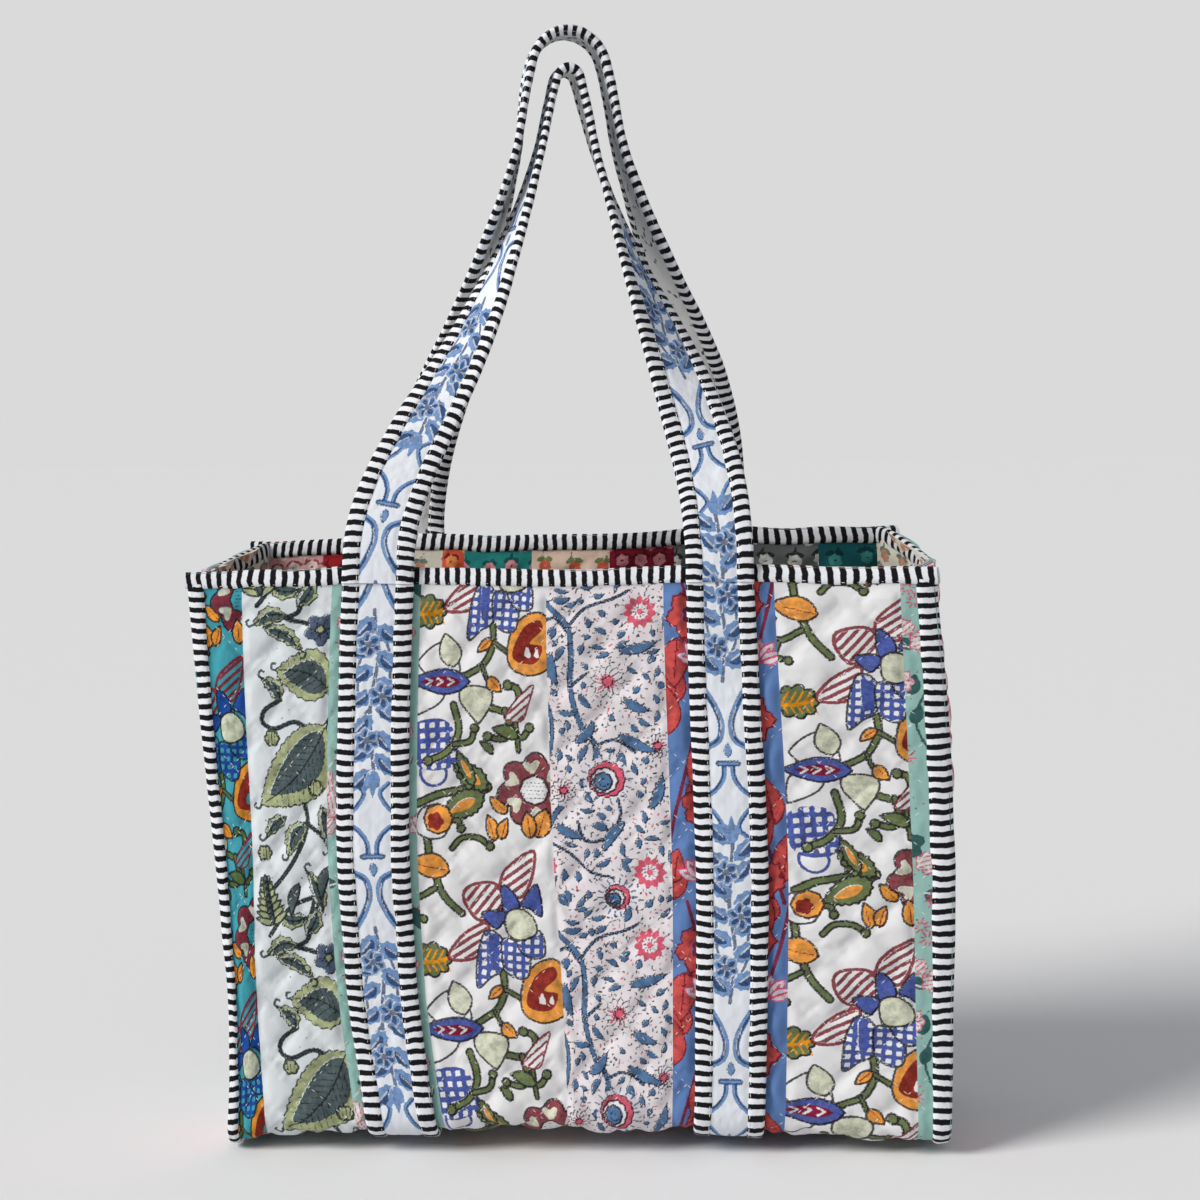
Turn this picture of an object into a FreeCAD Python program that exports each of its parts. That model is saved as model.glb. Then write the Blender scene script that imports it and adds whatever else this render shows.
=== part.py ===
"""Quilted patchwork knitting bag with two long handles.

Millimetres, +Z up, X along the width, front at -Y. The origin is on the ground under the middle of the bag.
One long quilted sheet of patchwork makes the front, the base and the back. A flat gusset closes each end.
Two straps lie on the front, run under the base and up the back, and their free ends make the handles.
"""
import FreeCAD, Part
import math
import os

Vector = FreeCAD.Vector

# Overall size
WIDTH = 460.0
DEPTH = 150.0
RIM_HEIGHT = 366.0
HANDLE_RISE = 358.0
BASE_CORNER_RADIUS = 16.0

# Cloth
CLOTH = 0.8
WADDING = 3.0
SHEET = 2 * CLOTH + WADDING
TAPE = 1.0
TAPE_COVER = 11.0

# Patchwork: seams across the width, measured from the middle
OUTER_SEAMS = (-193.0, -138.0, -82.0, 0.0, 72.0, 143.0, 210.0)
OUTER_STRIPS = (
    "teal_floral_strip",
    "grey_leaf_strip",
    "left_mint_strip",
    "left_olive_vine_strip",
    "blue_vine_strip",
    "blue_floral_strip",
    "right_olive_vine_strip",
    "right_mint_strip",
)
LINING_SEAMS = (-172.0, -111.0, -86.0, -70.0, -21.0, 33.0, 77.0, 177.0)
LINING_STRIPS = (
    "blush_lining",
    "red_lining",
    "cream_lining",
    "coral_lining",
    "teal_lining",
    "garden_lining",
    "maroon_lining",
    "grey_floral_lining",
    "dark_teal_lining",
)

# Straps
STRAP_WIDTH = 45.0
STRAP_CENTRE = 109.0
STRAP_CORE = 2.4
STRAP_SANDWICH = 2 * CLOTH + STRAP_CORE
STRAP_THICKNESS = STRAP_SANDWICH + 2 * TAPE
BASE_CLEARANCE = STRAP_THICKNESS

# Handles. The front loop is the smaller one and nests inside the rear loop.
FRONT_LOOP_RADIUS = 9.0
REAR_LOOP_RADIUS = 28.0
LOOP_NESTING = 25.0
LOOP_TURN = 12.0
RIM_GAP = 0.3
TAPE_EASE = 0.1
FOOT_RISE = 14.0
LEG_STATIONS = 9
TURN_STATIONS = 5
LEG_EASE_FOOT = 60.0
LEG_EASE_TOP = 0.5

# Derived planes
EDGE = WIDTH / 2
SHEET_EDGE = EDGE - TAPE
FRONT_Y = DEPTH / 2
SHEET_TOP = RIM_HEIGHT - TAPE
SEAM_TOP = RIM_HEIGHT - TAPE_COVER
GUSSET_FACE = SHEET_EDGE - TAPE_COVER + TAPE


def save(name, shape):
    shape.exportStep("parts/" + name + ".step")


def block(x_range, y_range, z_range):
    size = [high - low for low, high in (x_range, y_range, z_range)]
    return Part.makeBox(size[0], size[1], size[2], Vector(x_range[0], y_range[0], z_range[0]))


def joined(shapes):
    return shapes[0].fuse(list(shapes[1:])).removeSplitter()


# The U: a path down the front, under the base and up the back. Depth is measured inward from the outer face.

def u_edges(depth, top):
    """Edges of the U at this depth, from the top of the front to the top of the back."""
    radius = BASE_CORNER_RADIUS - depth
    y = FRONT_Y - depth
    z = BASE_CLEARANCE + depth
    corner = radius * math.sqrt(0.5)
    centre_y = y - radius
    centre_z = z + radius
    front = Part.LineSegment(Vector(0, -y, top), Vector(0, -y, centre_z))
    front_turn = Part.Arc(
        Vector(0, -y, centre_z),
        Vector(0, -centre_y - corner, centre_z - corner),
        Vector(0, -centre_y, z),
    )
    base = Part.LineSegment(Vector(0, -centre_y, z), Vector(0, centre_y, z))
    back_turn = Part.Arc(
        Vector(0, centre_y, z),
        Vector(0, centre_y + corner, centre_z - corner),
        Vector(0, y, centre_z),
    )
    back = Part.LineSegment(Vector(0, y, centre_z), Vector(0, y, top))
    return [curve.toShape() for curve in (front, front_turn, base, back_turn, back)]


def extruded(edges, x_low, x_high):
    outline = Part.Wire(Part.sortEdges(edges)[0])
    face = Part.Face(outline)
    face.translate(Vector(x_low, 0, 0))
    return face.extrude(Vector(x_high - x_low, 0, 0))


def u_sheet(x_low, x_high, outer_depth, inner_depth, top):
    """A U of cloth between two depths."""
    outer = u_edges(outer_depth, top)
    inner = u_edges(inner_depth, top)
    ends = []
    for side in (-1, 1):
        start = Vector(0, side * (FRONT_Y - outer_depth), top)
        finish = Vector(0, side * (FRONT_Y - inner_depth), top)
        ends.append(Part.LineSegment(start, finish).toShape())
    return extruded(outer + inner + ends, x_low, x_high)


def u_filling(x_low, x_high, depth, top):
    """Everything inside the U: the outline of a gusset."""
    y = FRONT_Y - depth
    lid = Part.LineSegment(Vector(0, -y, top), Vector(0, y, top)).toShape()
    return extruded(u_edges(depth, top) + [lid], x_low, x_high)


def u_tape(edge, inward, outer_depth, inner_depth, top):
    """Tape folded round one edge of a U sheet. inward is the X direction from the edge into the sheet."""
    far = edge + inward * TAPE_COVER
    fold = edge + inward * TAPE
    flange = sorted((edge, far))
    bridge = sorted((edge, fold))
    return joined([
        u_sheet(flange[0], flange[1], outer_depth - TAPE, outer_depth, top),
        u_sheet(bridge[0], bridge[1], outer_depth, inner_depth, top),
        u_sheet(flange[0], flange[1], inner_depth, inner_depth + TAPE, top),
    ])


# Body

def make_strips(names, seams, outer_depth, inner_depth):
    limits = (-SHEET_EDGE,) + seams + (SHEET_EDGE,)
    for name, low, high in zip(names, limits, limits[1:]):
        save(name, u_sheet(low, high, outer_depth, inner_depth, SHEET_TOP))


def make_body_sheet():
    make_strips(OUTER_STRIPS, OUTER_SEAMS, 0.0, CLOTH)
    save("body_wadding", u_sheet(-SHEET_EDGE, SHEET_EDGE, CLOTH, CLOTH + WADDING, SHEET_TOP))
    make_strips(LINING_STRIPS, LINING_SEAMS, CLOTH + WADDING, SHEET)


def gusset_layer(sign, outer_depth, inner_depth):
    """One layer of a gusset, notched at its top corners for the mouth binding."""
    low, high = sorted((sign * (GUSSET_FACE - outer_depth), sign * (GUSSET_FACE - inner_depth)))
    layer = u_filling(low, high, SHEET, SHEET_TOP)
    for end in (-1, 1):
        notch_y = sorted((end * (FRONT_Y - SHEET - TAPE), end * FRONT_Y))
        layer = layer.cut(block((low, high), notch_y, (SEAM_TOP, RIM_HEIGHT)))
    return layer


def make_gusset(side, sign):
    """The outer cloth is two strips with a seam up the middle."""
    outer_cloth = gusset_layer(sign, 0.0, CLOTH)
    whole_x = (-WIDTH, WIDTH)
    whole_z = (0.0, RIM_HEIGHT)
    for name, half_y in (("front", (-DEPTH, 0.0)), ("rear", (0.0, DEPTH))):
        save(side + "_gusset_" + name + "_strip", outer_cloth.common(block(whole_x, half_y, whole_z)))
    save(side + "_gusset_wadding", gusset_layer(sign, CLOTH, CLOTH + WADDING))
    save(side + "_gusset_lining", gusset_layer(sign, CLOTH + WADDING, SHEET))


def make_edge_binding(side, sign):
    """One length of tape down the front seam, under the base and up the rear seam."""
    save(side + "_edge_binding", u_tape(sign * EDGE, -sign, 0.0, SHEET, SEAM_TOP))


def folded_tape(x_range, y_range, slot_x, slot_y):
    """Tape folded over a top edge: a bar with a slot cut up into it."""
    bar = block(x_range, y_range, (SEAM_TOP, RIM_HEIGHT))
    return bar.cut(block(slot_x, slot_y, (SEAM_TOP, SHEET_TOP)))


def make_mouth_binding():
    long_x = (-EDGE, EDGE)
    for name, sign in (("front", -1), ("rear", 1)):
        outer = sign * (FRONT_Y + TAPE)
        inner = sign * (FRONT_Y - SHEET - TAPE)
        slot = sorted((sign * FRONT_Y, sign * (FRONT_Y - SHEET)))
        save("mouth_binding_" + name, folded_tape(long_x, sorted((outer, inner)), long_x, slot))
    short_y = (-(FRONT_Y - SHEET - TAPE), FRONT_Y - SHEET - TAPE)
    for name, sign in (("left", -1), ("right", 1)):
        outer = sign * (GUSSET_FACE + TAPE)
        inner = sign * (GUSSET_FACE - SHEET - TAPE)
        slot = sorted((sign * GUSSET_FACE, sign * (GUSSET_FACE - SHEET)))
        save("mouth_binding_" + name, folded_tape(sorted((outer, inner)), short_y, slot, short_y))


# Straps on the body

def make_body_strap(side, sign):
    """The face is outermost, and the backing lies against the patchwork."""
    centre = sign * STRAP_CENTRE
    half = STRAP_WIDTH / 2
    cloth_half = half - TAPE
    backing_depth = -TAPE
    core_depth = backing_depth - CLOTH
    face_depth = core_depth - STRAP_CORE
    outer_depth = face_depth - CLOTH
    low = centre - cloth_half
    high = centre + cloth_half
    save(side + "_strap_backing", u_sheet(low, high, core_depth, backing_depth, SEAM_TOP))
    save(side + "_strap_core", u_sheet(low, high, face_depth, core_depth, SEAM_TOP))
    save(side + "_strap_face", u_sheet(low, high, outer_depth, face_depth, SEAM_TOP))
    for name, edge_sign in (("outer", sign), ("inner", -sign)):
        edge = centre + edge_sign * half
        binding = u_tape(edge, -edge_sign, outer_depth, backing_depth, SEAM_TOP)
        save(side + "_strap_" + name + "_binding", binding)


# Handles. Each is worked out at the front, and the rear one is then turned half round.

def bezier(points, t):
    """Point and direction on a cubic curve."""
    a, b, c, d = points
    u = 1.0 - t
    place = a * u**3 + b * (3 * u * u * t) + c * (3 * u * t * t) + d * t**3
    slope = (b - a) * (u * u) + (c - b) * (2 * u * t) + (d - c) * (t * t)
    return place, slope.normalize()


def frame(place, along, turn):
    """A cross-section's centre, width direction and outward direction. turn is the width's heading in degrees."""
    heading = Vector(math.cos(math.radians(turn)), math.sin(math.radians(turn)), 0)
    width = (heading - along * heading.dot(along)).normalize()
    return place, width, width.cross(along)


def smooth(t):
    return t * t * (3 - 2 * t)


def loop_frames(radius, top_height):
    """Cross-sections from the left foot, over the top, to the right foot."""
    top_turn = LOOP_TURN - 90.0
    across = Vector(math.cos(math.radians(LOOP_TURN)), math.sin(math.radians(LOOP_TURN)), 0)
    up = Vector(0, 0, 1)
    centre = Vector(0, 0, top_height - STRAP_THICKNESS / 2 - radius)
    foot_y = -(FRONT_Y + TAPE + RIM_GAP + STRAP_THICKNESS / 2)
    foot_z = SEAM_TOP + RIM_GAP
    slope = math.atan2(centre.z - foot_z, STRAP_CENTRE)
    legs = []
    for sign, foot_turn in ((-1, 0.0), (1, -180.0)):
        foot = Vector(sign * STRAP_CENTRE, foot_y, foot_z)
        ankle = foot + up * FOOT_RISE
        shoulder = centre + across * (sign * radius * math.sin(slope)) + up * (radius * math.cos(slope))
        inward = across * (-sign * math.cos(slope)) + up * math.sin(slope)
        reach = (shoulder - ankle).Length
        curve = (ankle, ankle + up * LEG_EASE_FOOT, shoulder - inward * (reach * LEG_EASE_TOP), shoulder)
        leg = [frame(foot, up * -sign, foot_turn)]
        for i in range(LEG_STATIONS):
            t = i / (LEG_STATIONS - 1)
            place, rising = bezier(curve, t)
            turn = foot_turn + (top_turn - foot_turn) * smooth(t)
            leg.append(frame(place, rising * -sign, turn))
        legs.append(leg)
    arch = []
    for i in range(1, TURN_STATIONS + 1):
        angle = math.pi / 2 + slope * (1 - 2 * i / (TURN_STATIONS + 1))
        place = centre + across * (radius * math.cos(angle)) + up * (radius * math.sin(angle))
        along = across * math.sin(angle) - up * math.cos(angle)
        arch.append(frame(place, along, top_turn))
    return legs[0] + arch + legs[1][::-1]


def band(frames, outline):
    """Solid along the frames. outline lists (width, outward) points of the cross-section."""
    sections = []
    for place, width, outward in frames:
        corners = [place + width * w + outward * n for w, n in outline]
        sections.append(Part.makePolygon(corners + corners[:1]))
    return Part.makeLoft(sections, True, False)


def flat_outline(half_width, low, high):
    return [(-half_width, low), (half_width, low), (half_width, high), (-half_width, high)]


def tape_outline(sign):
    """Tape folded round one edge of the strap, as a C that lies just off the cloth."""
    edge = sign * STRAP_WIDTH / 2
    fold = edge - sign * (TAPE - TAPE_EASE)
    far = edge - sign * TAPE_COVER
    outer = STRAP_THICKNESS / 2
    inner = STRAP_SANDWICH / 2 + TAPE_EASE
    return [
        (far, outer), (edge, outer), (edge, -outer), (far, -outer),
        (far, -inner), (fold, -inner), (fold, inner), (far, inner),
    ]


def make_handle(side, radius, top_height, half_turn):
    frames = loop_frames(radius, top_height)
    cloth_half = STRAP_WIDTH / 2 - TAPE
    core = STRAP_CORE / 2
    skin = STRAP_SANDWICH / 2
    pieces = {
        "face": flat_outline(cloth_half, core, skin),
        "core": flat_outline(cloth_half, -core, core),
        "backing": flat_outline(cloth_half, -skin, -core),
        "outer_binding": tape_outline(-1),
        "inner_binding": tape_outline(1),
    }
    for piece, outline in pieces.items():
        shape = band(frames, outline)
        if half_turn:
            shape.rotate(Vector(0, 0, 0), Vector(0, 0, 1), 180)
        save(side + "_handle_" + piece, shape)


os.makedirs("parts", exist_ok=True)
make_body_sheet()
make_mouth_binding()
for side_name, side_sign in (("left", -1), ("right", 1)):
    make_gusset(side_name, side_sign)
    make_edge_binding(side_name, side_sign)
    make_body_strap(side_name, side_sign)
loop_top = RIM_HEIGHT + HANDLE_RISE
make_handle("front", FRONT_LOOP_RADIUS, loop_top - LOOP_NESTING, False)
make_handle("rear", REAR_LOOP_RADIUS, loop_top, True)
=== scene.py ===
"""Looks for the quilted patchwork knitting bag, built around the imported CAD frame.

Lengths are in millimetres until a mesh is made, where they become metres.
"u" is the distance along the body sheet from the top of the front, under the base and up the back.
"""
import math

import bpy
import numpy as np
from mathutils import Matrix


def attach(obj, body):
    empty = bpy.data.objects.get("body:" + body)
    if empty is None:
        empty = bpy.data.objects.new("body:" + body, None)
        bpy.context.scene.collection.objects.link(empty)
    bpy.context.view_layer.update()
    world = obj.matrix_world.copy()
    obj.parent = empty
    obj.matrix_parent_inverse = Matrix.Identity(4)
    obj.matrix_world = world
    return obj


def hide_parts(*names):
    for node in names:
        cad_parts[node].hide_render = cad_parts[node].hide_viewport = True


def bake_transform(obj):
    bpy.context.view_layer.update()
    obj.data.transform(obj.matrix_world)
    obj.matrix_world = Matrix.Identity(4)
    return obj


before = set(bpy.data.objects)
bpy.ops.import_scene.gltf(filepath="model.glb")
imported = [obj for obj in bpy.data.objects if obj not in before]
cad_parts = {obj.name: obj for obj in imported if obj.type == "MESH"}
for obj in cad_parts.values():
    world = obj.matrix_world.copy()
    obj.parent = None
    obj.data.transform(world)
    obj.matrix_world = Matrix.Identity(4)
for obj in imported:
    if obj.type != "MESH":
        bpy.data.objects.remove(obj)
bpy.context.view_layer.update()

MM = 0.001

# Sizes of the CAD model
WIDTH = 460.0
DEPTH = 150.0
RIM = 366.0
HANDLE_RISE = 358.0
BASE_RADIUS = 16.0
CLOTH = 0.8
WADDING = 3.0
SHEET = 2 * CLOTH + WADDING
TAPE = 1.0
TAPE_COVER = 11.0
STRAP_WIDTH = 45.0
STRAP_CENTRE = 109.0
STRAP_CORE = 2.4
STRAP_SANDWICH = 2 * CLOTH + STRAP_CORE
STRAP_THICKNESS = STRAP_SANDWICH + 2 * TAPE
EDGE = WIDTH / 2
SHEET_EDGE = EDGE - TAPE
FRONT_Y = DEPTH / 2
SHEET_TOP = RIM - TAPE
SEAM_TOP = RIM - TAPE_COVER
GUSSET_FACE = SHEET_EDGE - TAPE_COVER + TAPE
BASE_Z = STRAP_THICKNESS
OUTER_SEAMS = (-193.0, -138.0, -82.0, 0.0, 72.0, 143.0, 210.0)
LINING_SEAMS = (-172.0, -111.0, -86.0, -70.0, -21.0, 33.0, 77.0, 177.0)

# Handles
FRONT_LOOP = {"radius": 9.0, "top": RIM + HANDLE_RISE - 25.0}
REAR_LOOP = {"radius": 28.0, "top": RIM + HANDLE_RISE}
LOOP_TURN = 12.0
TURN_START = 0.25
RIM_GAP = 0.3
FOOT_RISE = 14.0
EASE_FOOT = 60.0
EASE_TOP = 0.5
LEG_POINTS = 240
FOOT_POINTS = 11
ARCH_POINTS = 60

# Lengths along the U of the body sheet
WALL = SHEET_TOP - BASE_Z - BASE_RADIUS
CORNER = math.pi / 2 * BASE_RADIUS
FLOOR = DEPTH - 2 * BASE_RADIUS
U_LENGTH = 2 * WALL + 2 * CORNER + FLOOR

# How the soft bag hangs
LEAN = -14.6
BASE_SINK = 5.0
BASE_DROOP = 9.0
LEFT_DROOP = 3.0
REAR_LIFT = 16.0
REAR_NARROWING = 13.0
SWAY = 3.0
SWAY_RIGHT = 8.0
# The handles lean together over a stretch above the rim, and less again near the top
HANDLE_PINCH = 0.28
PINCH_START = 40.0
PINCH_REACH = 300.0
PINCH_EASED = 0.6
EASED_START = 270.0
EASED_REACH = 70.0
HANDLE_DRIFT = 11.0
DRIFT_REACH = 170.0
# How far the cloth has slid sideways: for each x, five places from the base up to the rim
SLIDE_X = (-230.0, -193.0, -135.0, -84.0, 0.0, 79.0, 137.0, 210.0, 230.0)
SLIDE = (
    (-5.0, 0.0, -3.0, -5.0, -7.0),
    (-15.0, -18.0, -15.0, -12.0, -8.0),
    (-9.0, -21.0, -22.0, -14.0, -4.0),
    (-8.0, -21.0, -21.0, -13.0, -3.0),
    (-11.0, -16.0, -18.0, -13.0, -6.0),
    (-17.0, -19.0, -16.0, -11.0, -4.0),
    (-17.0, -19.0, -16.0, -12.0, -7.0),
    (3.0, -4.0, -4.0, 0.0, 6.0),
    (4.0, 0.0, 2.0, 6.0, 8.0),
)
HANDLE_STRETCH = 0.972
REAR_LIFT_TILT = 4.0
BELLY = ((3.2, 105), (1.4, 44))
RIM_WAVE = 3.0
HUMP_WIDTH = 45.0
GUSSET_BULGE = {-1: 7.0, 1: 21.0}
GUSSET_START = 150.0
GUSSET_REACH = 60.0

# Quilting
QUILT_CELL = 29.0
QUILT_PUFF = 2.8
QUILT_WOBBLE = 1.6
QUILT_REACH = 5.5
BLOCK_REPEAT = 211.0

LINING_PUFF = 0.8

# Pitches of the outer cloth's mesh
FINE = 0.95
COARSE = 1.6


# ---------------------------------------------------------------- shape of the bag

def smooth(t):
    t = np.clip(t, 0.0, 1.0)
    return t * t * (3 - 2 * t)


def noise(x, y, size, seed):
    """Smooth noise from -1 to 1 with bumps of this size."""
    table = np.random.default_rng(seed).uniform(-1, 1, (64, 64))
    gx = np.asarray(x, float) / size
    gy = np.asarray(y, float) / size
    ix = np.floor(gx).astype(int)
    iy = np.floor(gy).astype(int)
    fx = smooth(gx - ix)
    fy = smooth(gy - iy)
    low = table[ix % 64, iy % 64] * (1 - fx) + table[(ix + 1) % 64, iy % 64] * fx
    high = table[ix % 64, (iy + 1) % 64] * (1 - fx) + table[(ix + 1) % 64, (iy + 1) % 64] * fx
    return low * (1 - fy) + high * fy


def slide(x, rise):
    """Sideways slide of the cloth, between the columns and heights of the table."""
    heights = np.linspace(0, 1, len(SLIDE[0]))
    columns = [np.interp(rise, *curve(list(zip(heights, places))).T) for places in SLIDE]
    out = columns[0]
    for low, high, before, after in zip(SLIDE_X, SLIDE_X[1:], columns, columns[1:]):
        out = np.where(x > low, before + (after - before) * np.clip((x - low) / (high - low), 0, 1), out)
    return out


def belly(x, z, seeds):
    """How far a panel bows, in wide and in narrow bumps."""
    return sum(depth * noise(x, z, size, seed) for (depth, size), seed in zip(BELLY, seeds))


def hang(points):
    """Moves points of the stiff CAD shape to where the soft bag hangs."""
    x, y, z = np.moveaxis(np.asarray(points, float), -1, 0)
    low_z = np.minimum(z, RIM)
    rise = np.clip(z / RIM, 0, 1)
    ease = smooth(rise)
    front = smooth(-y / FRONT_Y)
    rear = smooth(y / FRONT_Y)
    over = np.maximum(z - RIM, 0)
    squeeze = smooth((over - PINCH_START) / PINCH_REACH)
    squeeze = squeeze * (1 - PINCH_EASED * smooth((over - EASED_START) / EASED_REACH))
    new_x = x * (1 - HANDLE_PINCH * squeeze) + HANDLE_DRIFT * smooth(over / DRIFT_REACH)
    new_x = new_x + LEAN * ease + (SWAY + SWAY_RIGHT * smooth((x + EDGE) / WIDTH)) * np.sin(math.pi * rise)
    new_x = new_x + slide(x, rise) - REAR_NARROWING * (x / EDGE) ** 3 * rear * ease
    side = np.where(x > 0, GUSSET_BULGE[1], -GUSSET_BULGE[-1])
    at_side = smooth((np.abs(x) - GUSSET_START) / GUSSET_REACH)
    across = np.cos(np.clip(y / FRONT_Y, -1, 1) * math.pi / 2)
    new_x = new_x + side * at_side * across * smooth((z - 20) / 140) * (over < 1)
    new_x = new_x + 3 * at_side * across * noise(y + 9 * x / EDGE, z, 46, 5) * smooth((z - 20) / 80)
    new_y = y + front * belly(x, low_z, (11, 12)) + rear * belly(x, low_z, (13, 14))
    corner = np.abs(x / EDGE)
    droop = BASE_SINK + (BASE_DROOP + LEFT_DROOP * (x < 0)) * corner**3
    new_z = z - droop * (1 - rise) ** 1.5
    new_z = new_z + 1.6 * noise(x, y * 0, 38, 21) * (1 - rise) ** 4
    new_z = new_z + (REAR_LIFT + REAR_LIFT_TILT * x / EDGE) * rear * ease
    hump = np.exp(-(((np.abs(x) - STRAP_CENTRE) / HUMP_WIDTH) ** 2)) - 0.5
    new_z = new_z + RIM_WAVE * hump * rise**4 * np.exp(-over / 60)
    new_z = new_z + 0.9 * noise(x, y, 26, 22) * rise**6 * np.exp(-over / 20)
    new_z = new_z - over * (1 - HANDLE_STRETCH)
    return np.stack([new_x, new_y, new_z], -1)


def u_outline(u):
    """Place and outward direction on the outer face at distance u from the top of the front."""
    u = np.asarray(u, float)
    base_front, floor_front, floor_rear, base_rear = np.cumsum([WALL, CORNER, FLOOR, CORNER])
    inner = FRONT_Y - BASE_RADIUS
    centre_z = BASE_Z + BASE_RADIUS
    front_turn = (u - base_front) / BASE_RADIUS
    rear_turn = (u - floor_rear) / BASE_RADIUS
    stages = [u < base_front, u < floor_front, u < floor_rear, u < base_rear]
    y = np.select(stages, [-FRONT_Y, -inner - BASE_RADIUS * np.cos(front_turn), -inner + u - floor_front,
                           inner + BASE_RADIUS * np.sin(rear_turn)], FRONT_Y)
    z = np.select(stages, [SHEET_TOP - u, centre_z - BASE_RADIUS * np.sin(front_turn), BASE_Z,
                           centre_z - BASE_RADIUS * np.cos(rear_turn)], centre_z + u - base_rear)
    ny = np.select(stages, [-1.0, -np.cos(front_turn), 0.0, np.sin(rear_turn)], 1.0)
    nz = np.select(stages, [0.0, -np.sin(front_turn), -1.0, -np.cos(rear_turn)], 0.0)
    return y, z, ny, nz


def body_points(x, u, out):
    """Points on the hanging body sheet, this far outside its outer face."""
    y, z, ny, nz = u_outline(u)
    return hang(np.stack([x + 0 * y, y + ny * out, z + nz * out], -1))


def stitched(distance, reach=QUILT_REACH):
    return 1 - np.exp(-((distance / reach) ** 2))


def ray(angle):
    """A step of length 1 in this direction."""
    return np.array([math.cos(angle), math.sin(angle)])


def nearest_line(value, pitch):
    return np.abs(value / pitch - np.round(value / pitch)) * pitch


def quilt(x, u, seams):
    """How far the quilted sheet stands out, with valleys at the stitching and the seams."""
    wobble = QUILT_WOBBLE * noise(x, u, 60, 31)
    rising = nearest_line((x + u) * math.sqrt(0.5) + wobble, QUILT_CELL)
    falling = nearest_line((x - u) * math.sqrt(0.5) + wobble, QUILT_CELL)
    puff = stitched(rising) * stitched(falling)
    close = np.exp(-((np.minimum(rising, falling) / 7) ** 2))
    for seam in seams:
        puff = puff * (0.25 + 0.75 * stitched(x - seam, 3.0))
    wrinkle = 0.55 * noise(x + 0.6 * u, u, 15, 32) + 0.34 * noise(x, u, 7.5, 33)
    wrinkle = wrinkle + close * (0.5 * noise((x + u) * 1.4, (x - u) * 0.5, 6, 34))
    wrinkle = wrinkle + close * (0.5 * noise((x - u) * 1.4, (x + u) * 0.5, 6, 35))
    held = smooth((EDGE - TAPE_COVER - 1 - np.abs(x)) / 9)
    held = held * smooth((u - TAPE_COVER) / 9) * smooth((U_LENGTH - TAPE_COVER - u) / 9)
    under_strap = smooth((np.abs(np.abs(x) - STRAP_CENTRE) - STRAP_WIDTH / 2 + 1) / 7)
    held = held * (0.04 + 0.96 * under_strap)
    return np.maximum((0.35 + QUILT_PUFF * puff + wrinkle) * held, 0.02)


# ---------------------------------------------------------------- meshes

def make_mesh(name, points, quads, ends, attributes, sharp=55):
    """A mesh object from points in millimetres, four-sided faces and a few many-sided end faces."""
    mesh = bpy.data.meshes.new(name)
    points = np.asarray(points, float).reshape(-1, 3) * MM
    mesh.vertices.add(len(points))
    mesh.vertices.foreach_set("co", points.ravel())
    corners = [np.asarray(quads, int).ravel()] + [np.asarray(end, int) for end in ends]
    counts = [4] * len(quads) + [len(end) for end in ends]
    flat = np.concatenate(corners)
    mesh.loops.add(len(flat))
    mesh.loops.foreach_set("vertex_index", flat)
    mesh.polygons.add(len(counts))
    mesh.polygons.foreach_set("loop_start", np.concatenate([[0], np.cumsum(counts)[:-1]]))
    mesh.update(calc_edges=True)
    mesh.polygons.foreach_set("use_smooth", np.ones(len(counts), bool))
    mesh.set_sharp_from_angle(angle=math.radians(sharp))
    for key, values in attributes.items():
        values = np.asarray(values, np.float32)
        kind = "FLOAT_VECTOR" if values.shape[-1] == 3 and values.ndim == 2 else "FLOAT"
        field = mesh.attributes.new(key, kind, "POINT")
        field.data.foreach_set("vector" if kind == "FLOAT_VECTOR" else "value", values.ravel())
    mesh.validate()
    thing = bpy.data.objects.new(name, mesh)
    bpy.context.scene.collection.objects.link(thing)
    return thing


def grid_quads(rows, columns, start=0, flip=False):
    index = start + np.arange(rows * columns).reshape(rows, columns)
    quads = np.stack([index[:-1, :-1], index[:-1, 1:], index[1:, 1:], index[1:, :-1]], -1).reshape(-1, 4)
    return quads[:, ::-1] if flip else quads


def closed_sheet(name, outer, inner, picks, attributes, flip=False):
    """A thin closed piece of cloth: a fine outer grid, and an inner grid below its picked columns."""
    rows, columns = outer.shape[:2]
    few = inner.shape[1]
    base = rows * columns
    top = np.arange(base).reshape(rows, columns)
    low = base + np.arange(rows * few).reshape(rows, few)
    quads = [grid_quads(rows, columns, 0, flip), grid_quads(rows, few, base, not flip)]
    for column, under, turn in ((0, 0, flip), (columns - 1, few - 1, not flip)):
        wall = np.stack([top[:-1, column], top[1:, column], low[1:, under], low[:-1, under]], -1)
        quads.append(wall[:, ::-1] if turn else wall)
    first = np.concatenate([top[0], low[0][::-1]])
    last = np.concatenate([top[-1], low[-1][::-1]])
    ends = [first if flip else first[::-1], last[::-1] if flip else last]
    full = {}
    for key, values in attributes.items():
        tail = values.shape[2:]
        both = np.concatenate([values.reshape((base,) + tail), values[:, picks].reshape((rows * few,) + tail)])
        full[key] = both
    points = np.concatenate([outer.reshape(-1, 3), inner.reshape(-1, 3)])
    return make_mesh(name, points, np.concatenate(quads), ends, full)


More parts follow.
